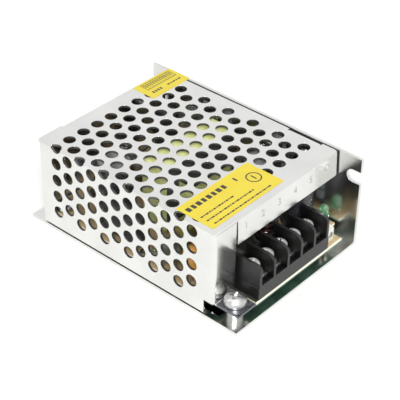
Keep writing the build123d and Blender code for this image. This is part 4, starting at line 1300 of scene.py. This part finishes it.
@dataclass(frozen=True)
class Fastener:
    """A headed screw with a recess and a real thread, in mm.

    crown is the height of the domed part of the head, span and width are the cross's,
    slot is the depth of a slot across the whole head, and sunk is a countersunk head.
    """

    head: float
    height: float
    crown: float
    shank: float
    length: float
    span: float = 3.4
    width: float = 0.8
    depth: float = 1.3
    slot: float = 0.0
    pitch: float = 0.5
    sunk: bool = False
    ridge: float = 0.12
    thread_depth: float = 0.13
    point: float = 0.4
    point_share: float = 0.6
    edge: float = 0.12
    sunk_edge: float = 0.08
    lead_in: float = 0.3
    runout: float = 0.5
    dome_steps: tuple[int, ...] = (0, 18, 36, 54, 70, 82)

    def blank(self, name: str) -> bpy.types.Object:
        """Turns the head and the shank; the head's underside lies at zero."""
        root = self.shank - self.ridge
        profile = [(root * self.point_share, -self.length),
                   (root, -self.length + self.point)]
        if self.sunk:
            profile += [(root, -self.height), (self.head, -self.sunk_edge),
                        (self.head, 0.0)]
        else:
            rim = self.height - self.crown
            profile += [(root, 0.0), (self.head - self.edge, 0.0), (self.head, self.edge)]
            profile += [
                (self.head * math.cos(a), rim + self.crown * math.sin(a))
                for a in map(math.radians, self.dome_steps)
            ]
        return Blank().lathe(profile, count=40).done(name, PLATED)

    def build(self, name: str, places: Sequence[Sequence[float]], facing: Facing,
              finish: Finish, turn: float = 0.0) -> bpy.types.Object:
        """Makes the screws of one body.

        Args:
            name: the object's name.
            places: where each head's underside sits, in mm.
            facing: the way that the heads face.
            finish: the metal.
            turn: how far the recess is turned, in degrees.

        Returns:
            One object with every screw.
        """
        nodes = Repeater("fastener")
        top = 0.0 if self.sunk else self.height
        span = nodes.length("Recess Span", self.span)
        width = nodes.length("Recess Width", self.width)
        tall = nodes.length("Recess Depth", 2 * self.depth)
        tools = []
        for x, y in ((span, width), (width, span)):
            arm = nodes.add("GeometryNodeMeshCube",
                            inputs={"Size": nodes.vector(x, y, tall)}).outputs["Mesh"]
            tools.append(arm)
        if self.slot:
            tools.append(nodes.add("GeometryNodeMeshCube", inputs={
                "Size": [v * MM for v in (3 * self.head, self.width, 2 * self.slot)],
            }).outputs["Mesh"])
        recess = nodes.add("GeometryNodeTransform", inputs={
            "Geometry": nodes.join(*tools),
            "Translation": (0.0, 0.0, top * MM),
            "Rotation": (0.0, 0.0, math.radians(turn)),
        }).outputs[0]
        headed = nodes.cut(nodes.geometry(), recess)
        run = self.length - (self.height if self.sunk else 0.0) - self.runout
        radius = nodes.length("Thread Radius", self.shank - self.thread_depth)
        helix = nodes.add("GeometryNodeCurveSpiral", inputs={
            "Resolution": 20, "Rotations": run / self.pitch, "Start Radius": radius,
            "End Radius": radius, "Height": nodes.length("Thread Run", run),
        }).outputs[0]
        ridge = nodes.add("GeometryNodeCurvePrimitiveCircle", inputs={
            "Resolution": 4, "Radius": nodes.length("Thread Ridge", self.ridge),
        }).outputs[0]
        thread = nodes.add("GeometryNodeCurveToMesh", inputs={
            "Curve": helix, "Profile Curve": ridge, "Fill Caps": True}).outputs[0]
        lowered = nodes.add("GeometryNodeTransform", inputs={
            "Geometry": thread,
            "Translation": (0.0, 0.0, (-self.length + self.lead_in) * MM),
        }).outputs[0]
        points = nodes.shape("Places", marks(name + "_places", places))
        every = nodes.copies(nodes.join(headed, lowered), points, Rotation=facing.value)
        return nodes.finish(self.blank(name), every, finish)


@dataclass(frozen=True)
class Coil:
    """A winding of round wire laid turn by turn on a leg, in mm.

    thick and sink are shares of the wire's diameter: the radius that it is drawn with,
    and how deep the smooth layer behind the turns lies.
    """

    outer: float
    wire: float
    height: float
    foot: float
    thick: float = 0.51
    sink: float = 0.7
    end_gap: float = 0.02

    def build(self, name: str, legs: Sequence[tuple[float, float]],
              finish: Finish) -> bpy.types.Object:
        """Winds the coil on every leg.

        Args:
            name: the object's name.
            legs: where each leg stands, in mm.
            finish: the wire's finish.

        Returns:
            One object with the coils of all legs.
        """
        nodes = Repeater("winding")
        radius = nodes.length("Winding Radius", self.outer - self.wire / 2)
        run = self.height - self.wire
        spiral = nodes.add("GeometryNodeCurveSpiral", inputs={
            "Resolution": 28, "Rotations": run / self.wire, "Start Radius": radius,
            "End Radius": radius, "Height": nodes.length("Winding Height", run),
        }).outputs[0]
        section = nodes.add("GeometryNodeCurvePrimitiveCircle", inputs={
            "Resolution": 8,
            "Radius": nodes.length("Wire Radius", self.wire * self.thick),
        }).outputs[0]
        turns = nodes.add("GeometryNodeCurveToMesh", inputs={
            "Curve": spiral, "Profile Curve": section, "Fill Caps": True}).outputs[0]
        raised = nodes.add("GeometryNodeTransform", inputs={
            "Geometry": turns, "Translation": (0.0, 0.0, self.wire / 2 * MM)}).outputs[0]
        places = [(x, y, self.foot) for x, y in legs]
        points = nodes.shape("Legs", marks(name + "_legs", places))
        whole = nodes.copies(nodes.join(nodes.geometry(), raised), points)
        inner = self.outer - self.wire * self.sink
        ends = (self.end_gap, self.height - self.end_gap)
        layer = Blank().lathe([(inner, end) for end in ends], count=40)
        return nodes.finish(layer.done(name, finish), whole, finish)


@dataclass(frozen=True)
class SolderJoints:
    """The cones of solder round the leads under the board.

    Most parts' leads stand about the middle of the part's box; the others' places are
    named here. unlike is the share by which one cone differs from the next.
    """

    radius: float = 0.85
    neck: float = 0.42
    height: float = 1.0
    waist: float = 0.82
    unlike: float = 0.1
    segments: int = 14
    seed: int = 7
    pin_row: float = 7.75
    package_inset: float = 2.6
    contact_row: float = -33.12
    diode_across: tuple[float, float] = (-13.7, 29.7)
    diode_along: tuple[float, float] = (11.5, 21.5)

    def places(self) -> list[tuple[float, float]]:
        """Lists where leads come through the board, in mm."""
        found: list[tuple[float, float]] = []
        one, pair, close, wide = (0.0,), (-2.5, 2.5), (-1.27, 1.27), (-3.81, 3.81)
        three, four = (-2.54, 0.0, 2.54), (-3.81, -1.27, 1.27, 3.81)

        def row(x: float, y: float, dx: Sequence[float], dy: Sequence[float]) -> None:
            """Adds a block of leads round a centre."""
            found.extend((x + a, y + b) for a in dx for b in dy)

        def under(node: str, dx: Sequence[float], dy: Sequence[float] = one,
                  shift: float = 0.0) -> None:
            """Adds a block of leads round the middle of a part, or shifted along Y."""
            middle = Extent.of(node).middle
            row(middle.x, middle.y + shift, dx, dy)

        under("bulk_capacitor", pair)
        under("output_capacitor_1", pair)
        under("output_capacitor_2", pair)
        under("auxiliary_capacitor", (-1.75, 1.75))
        under("fuse", (-2.55, 2.55))
        under("filter_choke_windings", (-4.0, 4.0), (-2.0, 2.0))
        under("line_film_capacitor", (-5.0, 5.0))
        under("varistor", one, pair)
        under("inrush_thermistor", one, pair)
        under("bridging_disc_capacitor", pair)
        under("bridge_rectifier", one, (-5.7, -1.9, 1.9, 5.7))
        under("output_inductor_core", pair)
        for side in (-1, 1):
            under("transformer_bobbin", (-7.5, -2.5, 2.5, 7.5), shift=side * self.pin_row)
        under("controller_chip", wide, four)
        under("optocoupler", wide, close)
        for x, y in RESISTORS:
            row(x, y, (-5.0, 5.0), one)
        row(*self.diode_across, (-4.5, 4.5), one)
        row(*self.diode_along, one, (-4.5, 4.5))
        under("indicator_lamp", one, close)
        for node in ("switching_transistor", "output_rectifier"):
            box = Extent.of(node)
            row(box.high.x - self.package_inset, box.middle.y, one, three)
        under("trimmer_wafer", (-1.2, 1.2))
        for way in WAYS:
            row(Extent.of(f"terminal_screw_{way}").middle.x, self.contact_row, one, one)
        return found

    def build(self) -> bpy.types.Object:
        """Sets a cone on every lead, each a little different in size."""
        nodes = Repeater("soldering")
        cone = nodes.add("GeometryNodeMeshCone", {"fill_type": "NGON"}, {
            "Vertices": nodes.ask("Joint Segments", "Int", self.segments),
            "Side Segments": 3,
            "Radius Top": nodes.length("Neck Radius", self.neck),
            "Radius Bottom": nodes.length("Foot Radius", self.radius),
            "Depth": nodes.length("Joint Height", self.height),
        }).outputs["Mesh"]
        where = nodes.add("GeometryNodeInputPosition").outputs[0]
        parts = nodes.add("ShaderNodeSeparateXYZ", inputs={0: where}).outputs
        share = compare(nodes.tree, "DIVIDE", parts[2], self.height * MM)
        slim = nodes.add("ShaderNodeMapRange", inputs={
            "Value": compare(nodes.tree, "PINGPONG", share, 0.5),
            "From Min": 0.0, "From Max": 0.5, "To Min": 1.0,
            "To Max": nodes.ask("Waist", "Float", self.waist),
        }).outputs[0]
        waisted = nodes.add("GeometryNodeSetPosition", inputs={
            "Geometry": cone,
            "Position": nodes.vector(
                compare(nodes.tree, "MULTIPLY", parts[0], slim),
                compare(nodes.tree, "MULTIPLY", parts[1], slim), parts[2]),
        }).outputs[0]
        under = Extent.of("circuit_board").low.z
        points = nodes.shape("Leads", marks(
            "solder_places", [(x, y, under) for x, y in self.places()]))
        size = nodes.add("FunctionNodeRandomValue", {"data_type": "FLOAT"}, {
            "Min": 1 - self.unlike, "Max": 1 + self.unlike,
            "Seed": nodes.ask("Seed", "Int", self.seed),
        })
        spread = next(s for s in size.outputs if s.enabled)
        every = nodes.copies(waisted, points, Rotation=Facing.DOWN.value,
                             Scale=nodes.vector(spread, spread, 1.0))
        blank = bpy.data.objects.new("solder_joints", bpy.data.meshes.new("solder"))
        bpy.context.scene.collection.objects.link(blank)
        return nodes.finish(blank, every, SOLDER)


# A capacitor's turned outline in steps of how far a point lies inside the sleeve's
# radius, and how far over the foot, over the groove's middle or over the top, in mm.
SLEEVE_FOOT = ((0.9, 0.02), (0.35, 0.05), (0.02, 0.45))
SLEEVE_GROOVE = ((0.02, -0.5), (0.45, -0.1), (0.45, 0.1), (0.0, 0.55))
SLEEVE_TOP = ((0.0, -0.75), (0.1, -0.35), (0.35, -0.08), (0.7, 0.0), (1.1, -0.04),
              (1.15, -0.16))
CAN_TOP = ((1.3, -0.3), (1.3, -0.12), (1.45, -0.05), (1.9, -0.08))


@dataclass(frozen=True)
class Capacitor:
    """An electrolytic capacitor: drawn can, shrunk sleeve, scored top and two leads.

    box is its box in the frame, pitch the leads' spacing in mm, and stripe_turn the way
    that the stripe faces, in degrees.
    """

    node: str
    box: Extent
    foot: float
    pitch: float
    stripe_turn: float
    groove_rise: float = 1.7
    segments: int = 56
    lead: float = 0.3
    lead_edge: float = 0.05
    vent_turn: int = 20
    vent_half: float = 0.09
    vent_inset: float = 2.4
    vent_foot: float = 0.2
    vent_drop: float = 0.055
    stripe_half: float = 1.5
    stripe_inset: float = 1.2
    stripe_proud: float = 0.015
    stripe_sink: float = 0.1
    dash_foot: float = 2.4
    dash_run: float = 3.6
    dash_share: float = 0.8

    @property
    def x(self) -> float:
        """Where the axis stands across the case."""
        return self.box.middle.x

    @property
    def y(self) -> float:
        """Where the axis stands along the case."""
        return self.box.middle.y

    @property
    def radius(self) -> float:
        """The sleeve's outer radius."""
        return self.box.radius

    @property
    def top(self) -> float:
        """The highest edge of the sleeve."""
        return self.box.high.z

    def build(self) -> bpy.types.Object:
        """Turns the can and its sleeve, and adds the stripe, the score and the leads.

        Returns:
            The object, standing for its CAD node.
        """
        groove = self.foot + self.groove_rise
        sleeve = (self.outline(self.foot, SLEEVE_FOOT)
                  + self.outline(groove, SLEEVE_GROOVE)
                  + self.outline(self.top, SLEEVE_TOP))
        blank = Blank().lathe(sleeve, self.x, self.y, self.segments, 0, 1)
        blank.lathe(self.outline(self.top, CAN_TOP), self.x, self.y, self.segments, 1, 1)
        for turn in (0, 60, 120):
            self.score(blank, math.radians(turn + self.vent_turn))
        self.stripe(blank)
        cut = self.box.low.z
        lead = [(self.lead - self.lead_edge, cut), (self.lead, cut + 2 * self.lead_edge),
                (self.lead, self.foot + 2 * self.lead_edge)]
        for side in (-1, 1):
            blank.lathe(lead, self.x + side * self.pitch / 2, self.y, 14, 1, 1)
        return blank.done(self.node + "_body", SLEEVE, CAN, STRIPE)

    def outline(self, level: float,
                steps: Sequence[tuple[float, float]]) -> list[tuple[float, float]]:
        """Sets outline steps against the sleeve's radius and a height."""
        return [(self.radius - inset, level + rise) for inset, rise in steps]

    def score(self, blank: Blank, turn: float) -> None:
        """Adds one pressed line of the vent across the top."""
        reach = self.radius - self.vent_inset
        along = Vector((math.cos(turn), math.sin(turn))) * reach
        across = Vector((-along.y, along.x)).normalized() * self.vent_half
        middle = Vector((self.x, self.y))
        line = [middle + along + across, middle - along + across,
                middle - along - across, middle + along - across]
        blank.prism(line, Plane.XY, self.top - self.vent_foot, self.top - self.vent_drop)

    def stripe(self, blank: Blank) -> None:
        """Adds the pale stripe down the sleeve, with its dashes left dark."""
        centre = math.radians(self.stripe_turn)
        half = self.stripe_half / self.radius
        angles = [centre - half + 2 * half * i / 8 for i in range(9)]
        rims = []
        for radius in (self.radius + self.stripe_proud, self.radius - self.stripe_sink):
            rims.append([Vector((self.x + radius * math.cos(a),
                                 self.y + radius * math.sin(a))) for a in angles])
        outline = rims[0] + rims[1][::-1]
        low = self.foot + self.dash_foot
        length = self.top - self.stripe_inset - low
        count = int(length / self.dash_run)
        run = length / count
        for number in range(count):
            start = low + number * run
            blank.prism(outline, Plane.XY, start, start + run * self.dash_share, 2)


@dataclass(frozen=True)
class CodeBands:
    """The colour bands round the four lacquered resistors."""

    axis_height: float = 7.45
    radius: float = 1.04
    width: float = 0.45
    offsets: tuple[float, ...] = (-1.55, -0.7, 0.15, 1.45)

    def build(self) -> bpy.types.Object:
        """Puts one set of four rings on every resistor."""
        blank = Blank()
        for slot, offset in enumerate(self.offsets):
            blank.prism(circle(0.0, 0.0, self.radius, 28), Plane.YZ,
                        offset - self.width / 2, offset + self.width / 2, slot)
        nodes = Repeater("banding")
        points = nodes.shape("Places", marks(
            "band_places", [(x, y, self.axis_height) for x, y in RESISTORS]))
        every = nodes.copies(nodes.geometry(), points)
        return nodes.finish(blank.done("resistor_bands", *BANDS), every, None)


class PrintRow(NamedTuple):
    """A row of short bars on a label, in mm: where it runs, and the bars in it."""

    left: float
    right: float
    low: float
    height: float
    lengths: tuple[float, ...]
    gap: float


FINE_BARS = (0.95, 0.45, 1.3, 0.7, 0.5)
# The front label: a row of blocks, and three rows as of fine print.
FRONT_ROWS = (
    PrintRow(-26.2, -9.6, -21.75, 1.85, (1.5, 1.25, 1.6, 1.3), 0.75),
    PrintRow(-25.9, -11.0, -26.05, 0.55, FINE_BARS, 0.3),
    PrintRow(-25.9, -4.8, -28.3, 0.55, FINE_BARS, 0.3),
    PrintRow(-25.3, 0.4, -30.6, 0.55, FINE_BARS, 0.3),
)
# The last block of the first row, and the bar in the ring: two corners in mm.
LAST_BLOCK = (-5.6, -21.75, -4.9, -19.9)
RING_BAR = (-0.85, -25.2, -0.35, -22.9)
# The ring's middle, its outer radius and its stroke in mm.
RING = (-0.6, -24.1, 2.5, 0.42)
# The rear label: two rows in front of its table.
REAR_ROWS = (
    PrintRow(14.2, 19.4, 29.3, 1.15, (0.7,), 0.45),
    PrintRow(21.0, 27.4, 29.5, 0.6, (1.2, 0.6), 0.35),
)


@dataclass(frozen=True)
class Sticker:
    """A yellow film label that carries plain bars, lines and shapes only.

    box is the label's box in the frame; the ink's upper side lies level with its top.
    """

    name: str
    box: Extent
    ink: float = 0.02
    film_drop: float = 0.012

    def start(self) -> Blank:
        """Cuts the film, a hair thinner than the label with its print."""
        high = self.box.high
        return Blank().box(self.box.low, (high.x, high.y, high.z - self.film_drop))

    def bar(self, blank: Blank, left: float, low: float, right: float,
            high: float) -> None:
        """Prints one filled rectangle."""
        over = self.box.high.z
        blank.box((left, low, over - self.ink), (right, high, over), 1)

    def bars(self, blank: Blank, row: PrintRow) -> None:
        """Prints a row of short bars of differing length.

        Args:
            blank: the label.
            row: where the row runs, and the bar lengths, used over and over.
        """
        at, number = row.left, 0
        while True:
            end = at + row.lengths[number % len(row.lengths)]
            if end > row.right:
                return
            self.bar(blank, at, row.low, end, row.low + row.height)
            at, number = end + row.gap, number + 1

    def ring(self, blank: Blank, x: float, y: float, outer: float,
             stroke: float) -> None:
        """Prints a plain ring, as short straight pieces."""
        over, count = self.box.high.z, 24
        for i in range(count):
            piece = ring_piece(x, y, outer, stroke,
                               *(math.tau * (i + k) / count for k in (0, 1)))
            blank.prism(piece, Plane.XY, over - self.ink, over, 1)

    def front(self) -> bpy.types.Object:
        """Prints the label at the front: blocks, fine rows, and a bar in a ring."""
        blank = self.start()
        self.bars(blank, FRONT_ROWS[0])
        self.bar(blank, *LAST_BLOCK)
        for row in FRONT_ROWS[1:]:
            self.bars(blank, row)
        self.ring(blank, *RING)
        self.bar(blank, *RING_BAR)
        return blank.done(self.name, YELLOW, INK)

    def rear(self) -> bpy.types.Object:
        """Prints the small label at the back: a table of thin lines with marks in it."""
        blank = self.start()
        line, cell, columns, rows, tall = 0.2, 1.1, 12, 3, 1.75
        left, top, mark, mark_low, mark_high = 14.2, 35.4, 0.42, 1.15, 0.6
        for row in range(rows):
            y = top - row * tall
            self.bar(blank, left, y, left + columns * cell, y + line)
        for column in range(columns + 1):
            x = left + column * cell
            self.bar(blank, x, top - (rows - 1) * tall, x + line, top + line)
        for column in range(columns):
            x = left + column * cell + 2 * line
            self.bar(blank, x, top - mark_low, x + mark, top - mark_high)
        for row in REAR_ROWS:
            self.bars(blank, row)
        return blank.done(self.name, YELLOW, INK)


@dataclass(frozen=True)
class LipMarks:
    """Screen printed marks on the front lip: plain digits, and an arc by the trimmer.

    lean is the angle in radians by which the lip has sprung out about its fold.
    """

    case: Case
    height: float = 2.3
    capital_share: float = 0.7
    low: float = 27.0
    proud: float = 0.03
    sink: float = 0.01
    lean: float = 0.0535
    first: float = -15.6
    spacing: float = 7.5
    arc_x: float = 22.3
    arc_z: float = 28.5
    arc_outer: float = 1.15
    arc_stroke: float = 0.3
    arc_start: float = -60.0
    arc_sweep: float = 270.0
    arc_pieces: int = 18
    tip_half: float = 0.5
    tip_reach: float = 0.9

    def digit(self, text: str, centre: float) -> bpy.types.Object:
        """Makes one digit as a plain mesh that stands on the lip.

        Args:
            text: the digit.
            centre: where its middle is across the case.

        Returns:
            The digit's object.
        """
        curve = bpy.data.curves.new("mark_" + text, "FONT")
        curve.body = text
        curve.align_x = "CENTER"
        curve.size = self.height / self.capital_share * MM
        curve.extrude = self.proud * MM
        curve.resolution_u = 3
        made = bpy.data.objects.new("mark_" + text, curve)
        bpy.context.scene.collection.objects.link(made)
        graph = bpy.context.evaluated_depsgraph_get()
        data = bpy.data.meshes.new_from_object(made.evaluated_get(graph),
                                               depsgraph=graph)
        bpy.data.objects.remove(made)
        place = Matrix.Translation(Vector((centre, self.case.front, self.low)) * MM)
        data.transform(self.tilt() @ place @ Matrix.Rotation(math.pi / 2, 4, "X"))
        shown = bpy.data.objects.new("mark_" + text, data)
        bpy.context.scene.collection.objects.link(shown)
        data.materials.clear()
        data.materials.append(LIP_INK.material())
        return shown

    def tilt(self) -> Matrix:
        """Leans the marks with the lip, about its fold."""
        c, mid = self.case, self.case.sheet / 2
        fold = Matrix.Translation(Vector((0.0, c.front + mid, c.top - mid)) * MM)
        return fold @ Matrix.Rotation(-self.lean, 4, "X") @ fold.inverted()

    def arc(self) -> bpy.types.Object:
        """Makes the turning arrow: most of a ring, ended by a triangle."""
        blank, face = Blank(), self.case.front
        depths = (face - self.proud, face + self.sink)
        step = self.arc_sweep / self.arc_pieces
        for i in range(self.arc_pieces):
            ends = (math.radians(self.arc_start + step * (i + k)) for k in (0, 1))
            piece = ring_piece(self.arc_x, self.arc_z, self.arc_outer, self.arc_stroke,
                               *ends)
            blank.prism(piece, Plane.XZ, *depths)
        tip = math.radians(self.arc_start + self.arc_sweep)
        at = Vector((self.arc_x, self.arc_z)) + Vector(
            (math.cos(tip), math.sin(tip))) * (self.arc_outer - self.arc_stroke / 2)
        along = Vector((-math.sin(tip), math.cos(tip)))
        across = Vector((along.y, -along.x)) * self.tip_half
        head = [at + across, at + along * self.tip_reach, at - across]
        blank.prism(head, Plane.XZ, *depths)
        made = blank.done("mark_turn", LIP_INK)
        made.data.transform(self.tilt())
        return made

    def build(self) -> list[bpy.types.Object]:
        """Makes every mark, and gives them from left to right."""
        made = [self.digit(str(way), self.first + self.spacing * (way - 1))
                for way in WAYS]
        return made + [self.arc()]


class Panel(NamedTuple):
    """One soft square light: its centre and its side in metres, and its watts."""

    name: str
    centre: tuple[float, float, float]
    side: float
    power: float


@dataclass(frozen=True)
class Studio:
    """Seamless white board, soft panels of light and the camera.

    The board's half side is in metres, its faces, the camera's place and the lens are
    in mm, and the roll is in degrees.
    """

    floor_half: float = 2.0
    floor_top: float = -0.02
    floor_foot: float = -6.0
    aim: tuple[float, float, float] = (0.0, 0.0, 0.016)
    panels: tuple[Panel, ...] = (
        Panel("key_panel", (-0.56, -0.5, 0.68), 0.3, 11.0),
        Panel("top_panel", (-0.1, -0.2, 1.0), 0.5, 1.5),
    )
    lens: float = 115.36
    sensor: float = 36.0
    place: tuple[float, float, float] = (-243.32, -212.18, 246.56)
    look: tuple[float, float, float] = (0.61331, 0.52707, -0.58825)
    roll: float = 1.02

    def floor(self) -> bpy.types.Object:
        """Lays the board under the case."""
        half = self.floor_half / MM
        board = Blank().box((-half, -half, self.floor_foot), (half, half, self.floor_top))
        return board.done("studio_floor", Backdrop("white_studio_board"))

    def hang(self, panel: Panel) -> None:
        """Hangs one soft square light that faces the case."""
        light = bpy.data.lights.new(panel.name, "AREA")
        light.size = panel.side
        light.energy = panel.power
        made = bpy.data.objects.new(panel.name, light)
        made.location = panel.centre
        ahead = Vector(self.aim) - Vector(panel.centre)
        made.rotation_euler = ahead.to_track_quat("-Z", "Y").to_euler()
        bpy.context.scene.collection.objects.link(made)

    def world(self) -> None:
        """Fills the room with even white light."""
        room = bpy.data.worlds.new("studio_room")
        room.use_nodes = True
        room.node_tree.nodes.clear()
        air = add(room.node_tree, "ShaderNodeBackground", inputs={
            "Color": linear("#ffffff"), "Strength": 1.0})
        add(room.node_tree, "ShaderNodeOutputWorld", inputs={"Surface": air.outputs[0]})
        bpy.context.scene.world = room

    def camera(self) -> None:
        """Sets the camera at the picture's own viewing angle."""
        ahead = Vector(self.look).normalized()
        right = ahead.cross(Vector((0.0, 0.0, 1.0))).normalized()
        up = right.cross(ahead)
        turn = math.radians(self.roll)
        level, rise = right * math.cos(turn), up * math.cos(turn)
        right, up = level + up * math.sin(turn), rise - right * math.sin(turn)
        data = bpy.data.cameras.new("camera")
        data.lens = self.lens
        data.sensor_width = self.sensor
        data.clip_start = 0.01
        made = bpy.data.objects.new("camera", data)
        columns = Matrix((right, up, -ahead)).transposed().to_4x4()
        made.matrix_world = Matrix.Translation(Vector(self.place) * MM) @ columns
        bpy.context.scene.collection.objects.link(made)
        bpy.context.scene.camera = made

    def build(self) -> None:
        """Sets up the floor, the lights, the room and the camera."""
        self.floor()
        for panel in self.panels:
            self.hang(panel)
        self.world()
        self.camera()
        bpy.context.scene.view_settings.view_transform = "Standard"


NODE_FINISHES: dict[str, Finish] = {
    "chassis": CHASSIS_SHEET,
    "cover_standoff": POST,
    "board_standoffs": POST,
    "board_spacer": NYLON,
    "circuit_board": Laminate("tan_board_laminate"),
    "insulating_sheet": FILM,
    "terminal_block": BLOCK,
    "transformer_core_lower": FERRITE,
    "transformer_core_upper": FERRITE,
    "transformer_bobbin": FORMER,
    "transformer_winding": TAPE,
    "transformer_core_tape": TAPE,
    "fuse": FUSE,
    "filter_choke_core": FERRITE,
    "line_film_capacitor": BOX,
    "varistor": ORANGE,
    "inrush_thermistor": GREEN,
    "bridging_disc_capacitor": BROWN,
    "bridge_rectifier": BRIDGE,
    "switching_transistor": EPOXY,
    "output_rectifier": EPOXY,
    "thermal_pads": PAD,
    "output_inductor_core": FERRITE,
    "controller_chip": CHIP,
    "optocoupler": CHIP,
    "resistors": LACQUER,
    "diodes": DIODE,
    "indicator_lamp": LENS,
    "trimmer_wafer": WAFER,
    "trimmer_housing": WHITE,
    "trimmer_rotor": PLATED,
}

# For each capacitor: its leads' spacing in mm, and the stripe's way in degrees.
CAPACITORS = {
    "bulk_capacitor": (5.0, 90.0),
    "output_capacitor_1": (5.0, 0.0),
    "output_capacitor_2": (5.0, 0.0),
    "auxiliary_capacitor": (3.5, 0.0),
}

# How far the cross of each clamp screw is turned, in degrees.
CLAMP_TURNS = (12.0, 58.0, 31.0, 74.0, 45.0)
CLAMP_SCREW = Fastener(head=2.45, height=3.0, crown=1.2, shank=1.47, length=5.2,
                       slot=0.7)
FOOT_SCREW = Fastener(head=3.4, height=3.0, crown=1.6, shank=1.45, length=4.6,
                      width=0.9)
BOARD_SCREW = Fastener(head=3.1, height=2.1, crown=0.95, shank=1.45, length=3.8,
                       width=0.9, depth=1.25)
PACKAGE_SCREW = Fastener(head=2.6, height=1.7, crown=0.7, shank=1.45, length=2.6,
                         span=2.8, width=0.7, depth=0.9)
EAR_SCREW = Fastener(head=2.45, height=1.0, crown=0.0, shank=1.45, length=3.3, span=2.6,
                     width=0.6, depth=0.7, sunk=True)
# How thick a package's metal tab is, and how far its hole lies under its upper end.
PACKAGE_TAB = 1.3
PACKAGE_HOLE_DROP = 2.8
# Where the board's screws stand in mm.
BOARD_SCREWS = ((-24.3, 31.9), (12.3, 32.5), (-24.3, -4.3))
CHOKE_COIL_HEIGHT = 6.6
CHOKE_WIRE, INDUCTOR_WIRE = 0.6, 0.55


def dress(nodes: dict[str, bpy.types.Object]) -> None:
    """Gives every CAD node that stays in the picture its finish."""
    for name, finish in NODE_FINISHES.items():
        materials = nodes[name].data.materials
        materials.clear()
        materials.append(finish.material())
        LOG.info("dressed %s in %s", name, finish.name)
    for name in nodes:
        if name.startswith(("clamp_washer", "contact_plate")):
            nodes[name].data.materials.clear()
            nodes[name].data.materials.append(TINNED.material())
            LOG.info("dressed %s in %s", name, TINNED.name)


def settle(made: bpy.types.Object, body: str, slot: str, *nodes: str) -> None:
    """Lets a piece ride on its body, and hides the nodes it replaces.

    Args:
        made: the piece.
        body: the frame's body.
        slot: a material slot's name; not used.
        nodes: the CAD nodes that the piece stands for.
    """
    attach(made, body)
    if nodes:
        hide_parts(*nodes)
    LOG.info("built %s, %d faces", made.name, len(made.data.polygons))


def under_head(node: str, screw: Fastener) -> Place:
    """Gives where an upright screw's head lies on its seat, from the screw's node."""
    box = Extent.of(node)
    return Place(box.middle.x, box.middle.y, round(box.high.z - screw.height, DIGITS))


def package_seat(node: str) -> Place:
    """Gives where the screw's head lies on a package that is clamped to the wall."""
    box = Extent.of(node)
    return Place(box.high.x - PACKAGE_TAB, box.middle.y, box.high.z - PACKAGE_HOLE_DROP)


def fasten() -> None:
    """Makes every screw and settles it on its body."""
    for way, turn in zip(WAYS, CLAMP_TURNS):
        node = f"terminal_screw_{way}"
        made = CLAMP_SCREW.build(f"clamp_screw_{way}", [under_head(node, CLAMP_SCREW)],
                                 Facing.UP, CLAMP, turn)
        settle(made, f"screw_{way}", "plated_screw", node)
    places = [under_head("cover_foot_screw", FOOT_SCREW)]
    settle(FOOT_SCREW.build("foot_screw", places, Facing.UP, HEADED, 20.0),
           "case", "plated_screw", "cover_foot_screw")
    places = [(x, y, board_level()) for x, y in BOARD_SCREWS]
    settle(BOARD_SCREW.build("board_screw_set", places, Facing.UP, PLATED, 35.0),
           "case", "plated_screw", "board_screws")
    places = [package_seat(node) for node in ("switching_transistor", "output_rectifier")]
    settle(PACKAGE_SCREW.build("package_screw_set", places, Facing.LEFT, PLATED, 15.0),
           "case", "plated_screw", "package_screws")
    ear = Extent.of("cover_ear_screw")
    places = [(ear.high.x, ear.middle.y, ear.middle.z)]
    settle(EAR_SCREW.build("ear_screw", places, Facing.RIGHT, PLATED, 10.0),
           "case", "plated_screw", "cover_ear_screw")


def wind() -> None:
    """Winds the choke's two coils and the inductor's coil and settles them."""
    box, outer = Extent.of("filter_choke_windings"), 3.0
    choke = Coil(outer, CHOKE_WIRE, CHOKE_COIL_HEIGHT, box.high.z - CHOKE_COIL_HEIGHT)
    legs = [(x, box.middle.y) for x in (box.low.x + outer, box.high.x - outer)]
    settle(choke.build("choke_coils", legs, WIRE),
           "case", "copper_winding", "filter_choke_windings")
    box = Extent.of("output_inductor_winding")
    inductor = Coil(box.radius, INDUCTOR_WIRE, box.high.z - box.low.z, box.low.z)
    settle(inductor.build("inductor_coil", [(box.middle.x, box.middle.y)], WIRE),
           "case", "copper_winding", "output_inductor_winding")


def main() -> None:
    """Builds the picture: the frame's finishes, the finer pieces and the studio."""
    logging.basicConfig(level=logging.INFO, format="%(message)s")
    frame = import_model()
    dress(frame["nodes"])
    case = Case(Extent.of("perforated_cover"))
    settle(PunchedCover(case).build(), "case", "cover_sheet", "perforated_cover")
    fasten()
    wind()
    settle(SolderJoints().build(), "case", "plated_screw")
    for node, (pitch, stripe_turn) in CAPACITORS.items():
        capacitor = Capacitor(node, Extent.of(node), board_level(), pitch, stripe_turn)
        settle(capacitor.build(), "case", "capacitor_sleeve", node)
    settle(CodeBands().build(), "case", "resistor_coating")
    label = Sticker("front_sticker", Extent.of("main_label")).front()
    settle(label, "case", "yellow_sticker", "main_label")
    small = Sticker("back_sticker", Extent.of("rear_sticker")).rear()
    settle(small, "case", "yellow_sticker", "rear_sticker")
    for mark in LipMarks(case).build():
        settle(mark, "case", "cover_sheet")
    Studio().build()


if __name__ == "__main__":
    main()
